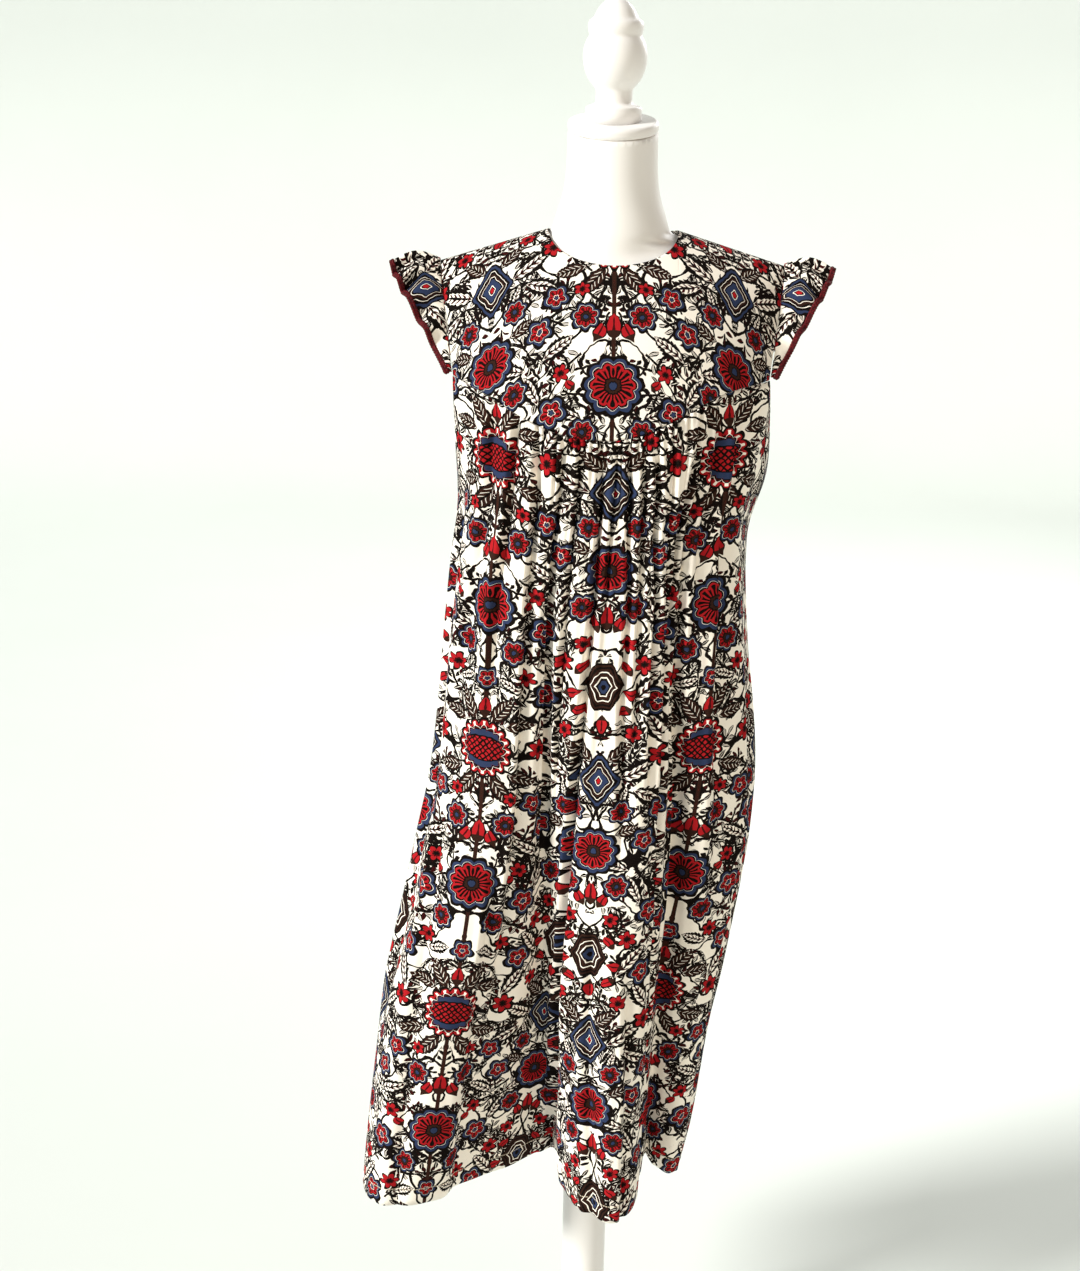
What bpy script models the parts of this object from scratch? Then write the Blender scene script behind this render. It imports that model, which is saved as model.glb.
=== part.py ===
"""A muumuu on a limbless dress form, at its real size.

A sleeveless A-line dress with a jewel neck, a plain yoke with a U-shaped seam, a skirt that
is gathered into that seam and falls in long soft folds, and a frill round each armhole edged
with braid.  It hangs on a smooth turned form that stands on a column and a round base.

Metres, +Z up, +Y to the back.  The origin is on the floor, on the form's axis.
Each piece that is cut and sewn is its own object, with a seam gap to its neighbours.
"""

import math

import bmesh
import bpy
import numpy as np
from mathutils import Matrix, Vector

NAME = "muumuu_on_dress_form"

# ---------------------------------------------------------------- driving dimensions
CLOTH = 0.0014           # thickness of the gown's cotton
FRILL_CLOTH = 0.0012     # thickness of the frills
SEAM_GAP = 0.0004        # between two pieces that are sewn together
DRESS_X = 0.003          # the gown hangs this far to the right of the form's axis

# neck and shoulders (x from the gown's own middle)
NECK_HALF = 0.0705       # half the width of the neck opening
NECK_POINT_Z = 1.474     # where neckline and shoulder seam meet
FRONT_NECK_Z = 1.444     # lowest point of the front neckline
BACK_NECK_Z = 1.465      # lowest point of the back neckline
SHOULDER_HALF = 0.190    # half the width across the shoulder tips
SHOULDER_TIP_Z = 1.437

# yoke: depth from the shoulder line, and how far down it takes to reach it
YOKE_HALF = 0.195        # half-width of the yoke's plan curve
YOKE_PLAN_POWER = 2.3
YOKE_FALL_POWER = 1.75
FRONT_DEPTH = 0.136
FRONT_FALL = 0.200
FRONT_RIDGE_RISE = 0.006
BACK_DEPTH = 0.108
BACK_FALL = 0.170
BACK_RIDGE_RISE = 0.035

YOKE_END_HALF = 0.1725   # half-width between the ends of the yoke seam
YOKE_END_Z = 1.322       # where the yoke seam meets the armhole
YOKE_LOW_Z = 1.2665      # the yoke seam at the centre front
FRONT_SEAM_LEFT = (
    # part of the way from the centre to the armhole, part of the rise
    (0.00, 0.00), (0.30, 0.09), (0.55, 0.38), (0.78, 0.74), (1.00, 1.00),
)
FRONT_SEAM_RIGHT = (
    (0.00, 0.00), (0.20, 0.13), (0.43, 0.47), (0.70, 0.86), (1.00, 1.00),
)
BACK_SEAM = ((0.00, 0.00), (0.50, 0.25), (1.00, 1.00))
BACK_SEAM_LOW_Z = 1.316  # the back yoke seam at the centre back
UNDERARM_Z = 1.250

# skirt
HEM_Z = 0.314
BLEND = 0.13             # the skirt takes this long to leave the shape of the yoke
SKIRT_TOP_Z = 1.25

# left and right edge of the skirt seen from the front, by height
OUTLINE = (
    # z,    left,    right
    (1.250, -0.167, 0.186),
    (1.213, -0.162, 0.180),
    (1.166, -0.165, 0.167),
    (1.110, -0.171, 0.165),
    (1.046, -0.176, 0.169),
    (0.947, -0.184, 0.179),
    (0.833, -0.196, 0.187),
    (0.775, -0.209, 0.184),
    (0.716, -0.221, 0.177),
    (0.640, -0.237, 0.165),
    (0.580, -0.249, 0.156),
    (0.506, -0.259, 0.144),
    (0.435, -0.266, 0.135),
    (0.380, -0.271, 0.129),
    (0.314, -0.276, 0.119),
)

# Lines that run down the skirt, round it from the left side seam over the front to the right
# side seam and back over the back: x and y at four heights, how much the hem rises there, and
# the columns of faces from this line to the next.
LINE_HEIGHTS = (1.25, 0.95, 0.65, 0.314)
LINES = (
    # name,            1.25 m x, y      0.95 m x, y      0.65 m x, y      hem x, y         rise  cols
    ("side_left",      -0.167,  0.000,  -0.178,  0.000,  -0.222,  0.000,  -0.258,  0.000,  0.000, 4),
    ("flank_left",     -0.166, -0.036,  -0.186, -0.032,  -0.237, -0.050,  -0.277, -0.070,  0.000, 3),
    ("corner_left",    -0.156, -0.073,  -0.179, -0.078,  -0.222, -0.106,  -0.265, -0.119,  0.001, 4),
    ("panel_outer",    -0.137, -0.101,  -0.152, -0.117,  -0.182, -0.138,  -0.226, -0.139,  0.002, 4),
    ("panel_crest",    -0.115, -0.118,  -0.122, -0.134,  -0.146, -0.143,  -0.190, -0.121,  0.003, 4),
    ("panel_inner",    -0.093, -0.127,  -0.098, -0.138,  -0.116, -0.134,  -0.150, -0.087,  0.004, 4),
    ("panel_edge",     -0.072, -0.132,  -0.079, -0.133,  -0.090, -0.117,  -0.108, -0.052,  0.006, 4),
    ("valley_left",    -0.049, -0.136,  -0.063, -0.124,  -0.063, -0.091,  -0.047, -0.034,  0.022, 4),
    ("pipe_side",      -0.030, -0.139,  -0.044, -0.132,  -0.046, -0.105,  -0.030, -0.086,  0.006, 4),
    ("pipe_left",      -0.005, -0.140,  -0.017, -0.142,  -0.031, -0.130,  -0.012, -0.131,  0.002, 4),
    ("pipe_crest",      0.021, -0.140,   0.015, -0.148,   0.012, -0.153,   0.022, -0.158,  0.000, 4),
    ("pipe_right",      0.049, -0.139,   0.050, -0.147,   0.052, -0.148,   0.049, -0.146,  0.000, 4),
    ("pipe_wall",       0.070, -0.136,   0.067, -0.137,   0.066, -0.120,   0.061, -0.088,  0.006, 4),
    ("valley_right",    0.088, -0.129,   0.080, -0.123,   0.082, -0.090,   0.073, -0.034,  0.021, 4),
    ("fold_right",      0.108, -0.120,   0.099, -0.125,   0.104, -0.096,   0.086, -0.046,  0.010, 4),
    ("crest_right",     0.135, -0.103,   0.130, -0.117,   0.131, -0.094,   0.104, -0.055,  0.004, 4),
    ("corner_right",    0.168, -0.064,   0.167, -0.066,   0.157, -0.058,   0.119, -0.034,  0.002, 4),
    ("side_right",      0.186,  0.000,   0.180,  0.000,   0.165,  0.000,   0.120,  0.012,  0.000, 4),
    ("back_corner_r",   0.178,  0.040,   0.172,  0.042,   0.158,  0.052,   0.121,  0.066,  0.000, 4),
    ("back_crest_r",    0.150,  0.074,   0.140,  0.092,   0.130,  0.104,   0.098,  0.118,  0.000, 4),
    ("back_valley_r",   0.105,  0.095,   0.094,  0.112,   0.086,  0.113,   0.056,  0.104,  0.004, 4),
    ("back_crest_mid",  0.052,  0.103,   0.043,  0.130,   0.032,  0.146,   0.010,  0.158,  0.000, 4),
    ("back_valley_mid", 0.002,  0.104,  -0.008,  0.122,  -0.022,  0.125,  -0.044,  0.118,  0.004, 4),
    ("back_crest_2",   -0.047,  0.101,  -0.060,  0.130,  -0.078,  0.149,  -0.100,  0.166,  0.000, 4),
    ("back_valley_l",  -0.094,  0.090,  -0.108,  0.112,  -0.134,  0.120,  -0.156,  0.126,  0.003, 4),
    ("back_crest_l",   -0.132,  0.069,  -0.148,  0.086,  -0.182,  0.108,  -0.207,  0.136,  0.000, 4),
    ("back_corner_l",  -0.158,  0.036,  -0.172,  0.043,  -0.214,  0.054,  -0.250,  0.070,  0.000, 4),
)
FRONT_FIRST, FRONT_LAST = 0, 17
FRONT_CORNERS = (2, 16)      # lines that start at the ends of the front yoke seam
BACK_CORNERS = (18, 26)      # lines that start at the ends of the back yoke seam
FRONT_ROWS = (0.0, 0.012, 0.03, 0.06, 0.10, 0.15, 0.22, 0.30, 0.39, 0.49, 0.60, 0.71, 0.81, 0.91, 1.0)
BACK_ROWS = (0.0, 0.03, 0.08, 0.15, 0.24, 0.34, 0.45, 0.57, 0.69, 0.80, 0.90, 1.0)

# gathers at the yoke seam: the skirt's middle is drawn up in small tucks
FRONT_GATHERS = (-0.100, 0.118, 13, 0.0017, 0.20)    # from x, to x, how many, depth, length
BACK_GATHERS = (-0.100, 0.100, 10, 0.0014, 0.16)

YOKE_COLUMNS = 8            # along one shoulder
NECK_COLUMNS = 12           # along the front neckline
YOKE_ROWS = 8

# frills
FRILL_WIDTH = 0.050
FRILL_END_WIDTH = 0.002
FRILL_WAVES = 9
FRILL_WAVE_DEPTH = 0.0042
FRILL_ARCH = 0.010
FRILL_TAPER = 1.15
FRILL_REACH = 0.985         # of the way down to the end of the yoke seam
FRILL_SPREAD = 0.5          # how far its ends fan out to the front and back
FRILL_LIFT = -0.13
FRILL_COLUMNS = 48
FRILL_ROWS = 3
BRAID_RADIUS = 0.0026
BRAID_GAP = 0.0006

# dress form
FORM_CLEAR = 0.003          # between the form and the cloth on its shoulders
FORM_SHARE = 0.965          # of the yoke's depth
FORM_EDGE = 0.001           # least half-thickness of the shoulder's edge
FORM_SIDES = 36
FORM_POWER = 2.2
NECK_SLANT = 0.146          # the neck's top falls to the front by this slope
NECK_TOP_Z = 1.580
CAP_RADIUS = 0.0495
CAP_THICK = 0.0125
CAP_ROUND = 0.0045
COLUMN_RADIUS = 0.0275
BASE_RADIUS = 0.140
BASE_THICK = 0.024
FIT_GAP = 0.0003            # between parts of the form that stand on each other

TORSO = (
    # z,    half-width, front, back
    (0.800, 0.140, 0.088, 0.100),
    (0.806, 0.150, 0.096, 0.108),
    (0.850, 0.163, 0.104, 0.116),
    (0.920, 0.164, 0.104, 0.112),
    (0.990, 0.146, 0.096, 0.096),
    (1.060, 0.126, 0.088, 0.082),
    (1.120, 0.128, 0.094, 0.082),
    (1.180, 0.139, 0.108, 0.086),
    (1.240, 0.148, 0.123, 0.088),
    (1.290, 0.150, 0.123, 0.086),
)
SHOULDERS = (
    # z, greatest half-width
    (1.336, 0.156),
    (1.372, 0.165),
    (1.398, 0.170),
    (1.416, 0.173),
    (1.428, 0.174),
    (1.437, 0.174),
    (1.446, 0.174),
    (1.455, 0.174),
    (1.464, 0.174),
    (1.4705, 0.174),
)
NECK = (
    # z,    half-width, front, back
    (1.372, 0.0600, 0.0560, 0.0540),
    (1.440, 0.0650, 0.0600, 0.0560),
    (1.464, 0.0650, 0.0580, 0.0560),
    (1.476, 0.0645, 0.0570, 0.0550),
    (1.492, 0.0605, 0.0545, 0.0535),
    (1.506, 0.0550, 0.0520, 0.0515),
    (1.527, 0.0508, 0.0500, 0.0500),
    (1.552, 0.0497, 0.0497, 0.0497),
    (1.580, 0.0495, 0.0495, 0.0495),
)

FINIAL = (
    # radius, z, from the tip down
    (0.0000, 1.7200),
    (0.0070, 1.7188),
    (0.0128, 1.7150),
    (0.0180, 1.7095),
    (0.0212, 1.7045),
    (0.0245, 1.6985),
    (0.0285, 1.6955),
    (0.0300, 1.6905),
    (0.0294, 1.6850),
    (0.0284, 1.6805),
    (0.0305, 1.6765),
    (0.0334, 1.6690),
    (0.0347, 1.6600),
    (0.0340, 1.6500),
    (0.0310, 1.6400),
    (0.0262, 1.6315),
    (0.0218, 1.6265),
    (0.0198, 1.6225),
    (0.0198, 1.6130),
    (0.0214, 1.6090),
    (0.0280, 1.6070),
    (0.0304, 1.6045),
    (0.0304, 1.5800),
    (0.0000, 1.5800),
)

# button and loop at the back of the neck
BUTTON_RADIUS = 0.0055
BUTTON_DOWN = 0.009         # below the edge of the back neck
BUTTON_IN = -0.0085         # from the slit, towards the left half
SLIT_HALF = 0.0006          # half the width of the slit
LOOP_RADIUS = 0.0005

# ---------------------------------------------------------------- materials
COLOURS = {
    # name:          (red, green, blue), roughness
    "printed_cotton": ((0.62, 0.52, 0.43), 0.75),
    "maroon_braid":   ((0.12, 0.010, 0.014), 0.60),
    "thread":         ((0.55, 0.48, 0.40), 0.70),
    "white_paint":    ((0.85, 0.85, 0.84), 0.35),
    "pearl_button":   ((0.70, 0.66, 0.58), 0.25),
}


def material(name):
    found = bpy.data.materials.get(name)
    if found:
        return found
    colour, roughness = COLOURS[name]
    made = bpy.data.materials.new(name)
    made.use_nodes = True
    shader = made.node_tree.nodes["Principled BSDF"]
    shader.inputs["Base Color"].default_value = (*colour, 1.0)
    shader.inputs["Roughness"].default_value = roughness
    shader.inputs["Metallic"].default_value = 0.0
    return made


# ---------------------------------------------------------------- small maths
def smoothstep(t):
    t = np.clip(t, 0.0, 1.0)
    return t * t * (3.0 - 2.0 * t)


def through(stations, values, at):
    """A smooth curve through values at rising stations, read at one place and held at the ends."""
    stations = np.asarray(stations, float)
    values = np.asarray(values, float)
    at = float(np.clip(at, stations[0], stations[-1]))
    slopes = np.gradient(values, stations, axis=0)
    i = int(np.clip(np.searchsorted(stations, at) - 1, 0, len(stations) - 2))
    span = stations[i + 1] - stations[i]
    t = (at - stations[i]) / span
    return (
        values[i] * (1 + 2 * t) * (1 - t) ** 2
        + values[i + 1] * t * t * (3 - 2 * t)
        + slopes[i] * span * t * (1 - t) ** 2
        - slopes[i + 1] * span * t * t * (1 - t)
    )


def read_table(rows, at):
    """Read a table whose first column rises: its other columns at one place."""
    table = np.asarray(rows, float)
    return through(table[:, 0], table[:, 1:], at)


# ---------------------------------------------------------------- the yoke's surface
def ridge_z(x, rise):
    """Height of the shoulder line at x; inside the neck it is carried on in an arch."""
    x = abs(x)
    if x < NECK_HALF:
        return NECK_POINT_Z + rise * (1.0 - (x / NECK_HALF) ** 2)
    slope = (NECK_POINT_Z - SHOULDER_TIP_Z) / (SHOULDER_HALF - NECK_HALF)
    return NECK_POINT_Z - slope * (x - NECK_HALF)


def yoke_depth(x, z, front):
    """How far the yoke stands in front of (or behind) the shoulder line, at x and z."""
    depth, fall, rise = (
        (FRONT_DEPTH, FRONT_FALL, FRONT_RIDGE_RISE) if front else (BACK_DEPTH, BACK_FALL, BACK_RIDGE_RISE)
    )
    plan = max(0.0, 1.0 - (abs(x) / YOKE_HALF) ** YOKE_PLAN_POWER) ** (1.0 / YOKE_PLAN_POWER)
    down = float(np.clip((ridge_z(x, rise) - z) / fall, 0.0, 1.0))
    profile = (1.0 - (1.0 - down) ** YOKE_FALL_POWER) ** (1.0 / YOKE_FALL_POWER)
    return depth * plan * profile


def yoke_point(x, z, front):
    """A point of the yoke's inner face, in the world."""
    y = yoke_depth(x, z, front)
    return np.array((x + DRESS_X, -y if front else y, z))


def yoke_seam_z(x, front):
    """Height of the seam between yoke and skirt: a U that ends at the armholes."""
    low = YOKE_LOW_Z if front else BACK_SEAM_LOW_Z
    rise = BACK_SEAM
    if front:
        rise = FRONT_SEAM_LEFT if x < 0.0 else FRONT_SEAM_RIGHT
    return low + (YOKE_END_Z - low) * float(read_table(rise, abs(x) / YOKE_END_HALF)[0])


def yoke_column(top_x, top_z, bottom_x, front):
    """One column of the yoke, from its top edge down the surface to the yoke seam."""
    rise, fall = (FRONT_RIDGE_RISE, FRONT_FALL) if front else (BACK_RIDGE_RISE, BACK_FALL)
    bottom_z = yoke_seam_z(bottom_x, front)
    first = (ridge_z(top_x, rise) - top_z) / fall
    last = (ridge_z(bottom_x, rise) - bottom_z) / fall
    points = []
    for row in range(YOKE_ROWS + 1):
        # rows are even along the arc, which is flat on top of the shoulder
        part = row / YOKE_ROWS
        start = math.acos(max(-1.0, 1.0 - first))
        end = math.acos(max(0.0, 1.0 - last)) + max(0.0, last - 1.0)
        angle = start + (end - start) * part
        down = 1.0 - math.cos(min(angle, math.pi / 2)) + max(0.0, angle - math.pi / 2)
        share = (down - first) / (last - first)
        x = top_x + (bottom_x - top_x) * share
        points.append(yoke_point(x, ridge_z(x, rise) - fall * down, front))
    return points


def neckline(angle, front):
    """x and z of the neckline, from the right neck point (0) to the left one (pi)."""
    low = FRONT_NECK_Z if front else BACK_NECK_Z
    return NECK_HALF * math.cos(angle), NECK_POINT_Z - (NECK_POINT_Z - low) * math.sin(angle)


def yoke_grid(front, from_x, to_x, neck_columns):
    """Columns of the yoke between two places across it, from left to right."""
    columns = []
    for i in range(YOKE_COLUMNS):
        share = i / YOKE_COLUMNS
        x = -SHOULDER_HALF + (SHOULDER_HALF - NECK_HALF) * share
        columns.append((x, ridge_z(x, 0.0)))
    for i in range(neck_columns + 1):
        columns.append(neckline(math.pi * (1.0 - i / neck_columns), front))
    for i in range(1, YOKE_COLUMNS + 1):
        x = NECK_HALF + (SHOULDER_HALF - NECK_HALF) * i / YOKE_COLUMNS
        columns.append((x, ridge_z(x, 0.0)))
    scale = YOKE_END_HALF / SHOULDER_HALF
    kept = [(x, z) for x, z in columns if from_x - 1e-9 <= x <= to_x + 1e-9]
    grid = []
    for x, z in kept:
        # the slit's edge stays upright, the rest leans in with the armhole
        grid.append(yoke_column(x, z, x * scale, front))
    return np.array(grid)


# ---------------------------------------------------------------- the armhole
def armhole(share, right, front):
    """A point of the armhole's upper part: 0 at the shoulder tip, 1 at the end of the yoke seam."""
    sign = 1.0 if right else -1.0
    column = yoke_column(sign * SHOULDER_HALF, SHOULDER_TIP_Z, sign * YOKE_END_HALF, front)
    place = share * YOKE_ROWS
    i = min(int(place), YOKE_ROWS - 1)
    return column[i] + (column[i + 1] - column[i]) * (place - i)


def underarm(share, right, front):
    """A point of the armhole's lower part: 0 at the end of the yoke seam, 1 under the arm."""
    top = armhole(1.0, right, front)
    low = np.array((line_at(FRONT_LAST if right else FRONT_FIRST, UNDERARM_Z)[0], 0.0, UNDERARM_Z))
    corner = np.array((low[0] * 0.5 + top[0] * 0.5, top[1] * 0.72, UNDERARM_Z + 0.012))
    return top * (1 - share) ** 2 + corner * 2 * share * (1 - share) + low * share ** 2


# ---------------------------------------------------------------- the skirt's sections
def line_at(index, z):
    """x and y of one of the skirt's lines at a height, fitted to the outline."""
    row = LINES[index]
    values = np.array([(row[1 + 2 * k], row[2 + 2 * k]) for k in range(len(LINE_HEIGHTS))])
    x, y = through(LINE_HEIGHTS[::-1], values[::-1], z)
    return np.array((x, y))


def section(z):
    """All the skirt's lines at one height, stretched so that they reach the outline."""
    points = np.array([line_at(i, z) for i in range(len(LINES))])
    left, right = read_table(OUTLINE[::-1], z)
    low, high = points[:, 0].min(), points[:, 0].max()
    outer = np.where(points[:, 0] < 0.0, points[:, 0] / low * left, points[:, 0] / high * right)
    points[:, 0] = outer
    return points


def round_ring(points, first, last):
    """The smooth closed curve through a section, read from one line to another."""
    count = len(points)
    steps = np.linalg.norm(np.roll(points, -1, axis=0) - points, axis=1)
    curve = []
    index = first
    while index != last:
        a, b, c, d = (points[(index + k) % count] for k in (-1, 0, 1, 2))
        ab, bc, cd = (steps[(index + k) % count] for k in (-1, 0, 1))
        leave = (c - a) / (ab + bc) * bc
        arrive = (d - b) / (bc + cd) * bc
        columns = LINES[index % count][10]
        for step in range(columns):
            t = step / columns
            curve.append(
                b * (1 + 2 * t) * (1 - t) ** 2
                + c * t * t * (3 - 2 * t)
                + leave * t * (1 - t) ** 2
                - arrive * t * t * (1 - t)
            )
        index = (index + 1) % count
    curve.append(points[last % count])
    return np.array(curve)


def column_places(first, last):
    """For each column of a panel: its place along the lines, in lines and parts of lines."""
    places = []
    index = first
    count = 0
    while index != last:
        columns = LINES[index][10]
        places += [count + step / columns for step in range(columns)]
        index = (index + 1) % len(LINES)
        count += 1
    return np.array(places + [float(count)])


def skirt_top(place, front):
    """The upper edge of a skirt panel at a place along its lines."""
    first = FRONT_FIRST if front else FRONT_LAST
    total = (FRONT_LAST - FRONT_FIRST) if front else (len(LINES) - FRONT_LAST)
    corners = FRONT_CORNERS if front else BACK_CORNERS
    start, end = corners[0] - first, corners[1] - first
    if place < start:
        return underarm(1.0 - place / start, not front, front)
    if place > end:
        return underarm((place - end) / (total - end), front, front)
    sign = -1.0 if front else 1.0
    across = [sign * YOKE_END_HALF]
    for k in range(start + 1, end):
        across.append(line_at((first + k) % len(LINES), SKIRT_TOP_Z)[0] - DRESS_X)
    across.append(-sign * YOKE_END_HALF)
    x = float(np.interp(place, np.arange(start, end + 1), across))
    return yoke_point(x, yoke_seam_z(x, front), front)


def hem_z(place, first):
    """Height of the hem at a place along the lines."""
    index = int(place)
    t = smoothstep(place - index)
    here = LINES[(first + index) % len(LINES)][9]
    there = LINES[(first + index + 1) % len(LINES)][9]
    return HEM_Z + here + (there - here) * t


def skirt_grid(front):
    """A skirt panel: columns from side seam to side seam, rows from the yoke down to the hem."""
    first, last = (FRONT_FIRST, FRONT_LAST) if front else (FRONT_LAST, FRONT_FIRST)
    rows = FRONT_ROWS if front else BACK_ROWS
    low_x, high_x, tucks, depth, length = FRONT_GATHERS if front else BACK_GATHERS
    places = column_places(first, last)
    tops = np.array([skirt_top(place, front) for place in places])
    hems = np.array([hem_z(place, first) for place in places])
    grid = np.zeros((len(places), len(rows), 3))
    for r, share in enumerate(rows):
        for c in range(len(places)):
            z = tops[c, 2] + (hems[c] - tops[c, 2]) * share
            ring = round_ring(section(z), first, last)
            way = smoothstep((tops[c, 2] - z) / BLEND)
            flat = tops[c, :2] * (1 - way) + ring[c] * way
            inside = smoothstep((tops[c, 0] - low_x) / 0.03) * smoothstep((high_x - tops[c, 0]) / 0.03)
            turn = (tops[c, 0] - low_x) / (high_x - low_x) * tucks * 2 * math.pi
            fade = max(0.0, 1.0 - (tops[c, 2] - z) / length) ** 2
            tuck = depth * inside * fade * (1.0 - math.cos(turn)) * 0.5
            out = np.array((0.0, -1.0 if front else 1.0))
            grid[c, r, :2] = flat + out * tuck
            grid[c, r, 2] = z
    return grid


# ---------------------------------------------------------------- the frills
def seam_point(place, right):
    """A point of the armhole seam: -1 at its front end, 0 at the shoulder, 1 at its back end."""
    return armhole(min(1.0, abs(place)), right, place <= 0.0)


def seam_tangent(place, right):
    step = seam_point(min(1.0, place + 0.06), right) - seam_point(max(-1.0, place - 0.06), right)
    return step / np.linalg.norm(step)


def edge_normal(place, right):
    """The way that the yoke faces at its armhole edge."""
    front = place <= 0.0
    point = seam_point(place, right)
    inner_x = point[0] - DRESS_X - (0.002 if right else -0.002)
    inwards = point - yoke_point(inner_x, point[2], front)
    normal = np.cross(inwards, seam_tangent(place, right))
    normal /= np.linalg.norm(normal)
    centre = np.array((DRESS_X, 0.0, YOKE_END_Z))
    return normal if np.dot(normal, point - centre) > 0 else -normal


def frill_grid(right):
    """A frill: columns from its front end over the shoulder to its back end, rows outwards."""
    sign = 1.0 if right else -1.0
    columns = []
    for c in range(FRILL_COLUMNS + 1):
        place = (c / FRILL_COLUMNS * 2.0 - 1.0) * FRILL_REACH
        root = seam_point(place, right)
        flare = (root[2] - YOKE_END_Z) / (SHOULDER_TIP_Z - YOKE_END_Z)
        width = FRILL_END_WIDTH + (FRILL_WIDTH - FRILL_END_WIDTH) * flare ** FRILL_TAPER
        outward = np.array((sign, FRILL_SPREAD * place * flare, FRILL_LIFT))
        outward /= np.linalg.norm(outward)
        wave_way = np.cross(outward, seam_tangent(place, right)) * -sign
        wave_way /= np.linalg.norm(wave_way)
        wave = math.sin(FRILL_WAVES * math.pi * place + 0.6) * FRILL_WAVE_DEPTH * min(1.0, flare * 4.0)
        start = root + edge_normal(place, right) * (CLOTH + SEAM_GAP)
        start += outward * SEAM_GAP
        points = []
        for r in range(FRILL_ROWS + 1):
            part = r / FRILL_ROWS
            arch = np.array((0.0, 0.0, FRILL_ARCH * math.sin(math.pi * part) * flare))
            points.append(start + outward * width * part + wave_way * wave * part + arch)
        columns.append(points)
    return np.array(columns)


# ---------------------------------------------------------------- making the objects
def place_in(collection, thing):
    for other in list(thing.users_collection):
        other.objects.unlink(thing)
    collection.objects.link(thing)


def object_from(name, mesh, collection, finish):
    thing = bpy.data.objects.new(name, mesh)
    collection.objects.link(thing)
    mesh.materials.append(material(finish))
    mesh.shade_smooth()
    return thing


def pull_borders(grid, gap):
    """Draw the four borders of a panel in by half a seam gap."""
    grid = grid.copy()
    for edge, inner in ((0, 1), (-1, -2)):
        step = grid[inner] - grid[edge]
        grid[edge] += step / np.linalg.norm(step, axis=1)[:, None] * gap / 2
    for edge, inner in ((0, 1), (-1, -2)):
        step = grid[:, inner] - grid[:, edge]
        grid[:, edge] += step / np.linalg.norm(step, axis=1)[:, None] * gap / 2
    return grid


def cloth_panel(name, grid, thickness, collection, finish, outward):
    """An open lofted panel, thickened outwards with Solidify."""
    grid = pull_borders(grid, SEAM_GAP)
    columns, rows = grid.shape[:2]
    mesh = bpy.data.meshes.new(name)
    work = bmesh.new()
    verts = [[work.verts.new(grid[c, r]) for r in range(rows)] for c in range(columns)]
    for c in range(columns - 1):
        for r in range(rows - 1):
            work.faces.new((verts[c][r], verts[c][r + 1], verts[c + 1][r + 1], verts[c + 1][r]))
    work.normal_update()
    middle = work.faces[:][len(work.faces) // 2]
    if middle.normal.dot(Vector(outward)) < 0.0:
        bmesh.ops.reverse_faces(work, faces=work.faces[:])
    work.to_mesh(mesh)
    work.free()
    thing = object_from(name, mesh, collection, finish)
    wall = thing.modifiers.new("Wall", "SOLIDIFY")
    wall.thickness = thickness
    wall.offset = 1.0
    wall.use_even_offset = False
    return thing


def turned(name, profile, collection, finish, steps=28):
    """A turned piece: the profile runs from the top down its outer side, at +X."""
    mesh = bpy.data.meshes.new(name)
    work = bmesh.new()
    verts = [work.verts.new((radius, 0.0, z)) for radius, z in profile]
    for a, b in zip(verts, verts[1:]):
        work.edges.new((a, b))
    work.to_mesh(mesh)
    work.free()
    thing = object_from(name, mesh, collection, finish)
    screw = thing.modifiers.new("Turn", "SCREW")
    screw.steps = screw.render_steps = steps
    screw.use_merge_vertices = True
    screw.merge_threshold = 0.00002
    return thing


def tube(name, points, radius, collection, finish, sides=1):
    """A round cord through given points, as a closed mesh."""
    curve = bpy.data.curves.new(name, "CURVE")
    curve.dimensions = "3D"
    curve.bevel_depth = radius
    curve.bevel_resolution = sides
    curve.use_fill_caps = True
    spline = curve.splines.new("POLY")
    spline.points.add(len(points) - 1)
    for slot, point in zip(spline.points, points):
        slot.co = (*point, 1.0)
    guide = bpy.data.objects.new(name + "_route", curve)
    collection.objects.link(guide)
    bpy.context.view_layer.update()
    graph = bpy.context.evaluated_depsgraph_get()
    mesh = bpy.data.meshes.new_from_object(guide.evaluated_get(graph))
    bpy.data.objects.remove(guide)
    work = bmesh.new()
    work.from_mesh(mesh)
    bmesh.ops.remove_doubles(work, verts=work.verts[:], dist=radius * 0.01)
    bmesh.ops.recalc_face_normals(work, faces=work.faces[:])
    work.to_mesh(mesh)
    work.free()
    mesh.materials.clear()
    mesh.name = name
    return object_from(name, mesh, collection, finish)


def loft(name, rings, collection, finish):
    """A closed solid through rings of the same number of points, capped at both ends."""
    mesh = bpy.data.meshes.new(name)
    work = bmesh.new()
    loops = [[work.verts.new(point) for point in ring] for ring in rings]
    sides = len(rings[0])
    for lower, upper in zip(loops, loops[1:]):
        for i in range(sides):
            j = (i + 1) % sides
            work.faces.new((lower[i], lower[j], upper[j], upper[i]))
    work.faces.new(list(reversed(loops[0])))
    work.faces.new(loops[-1])
    bmesh.ops.recalc_face_normals(work, faces=work.faces[:])
    work.to_mesh(mesh)
    work.free()
    return object_from(name, mesh, collection, finish)


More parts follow.
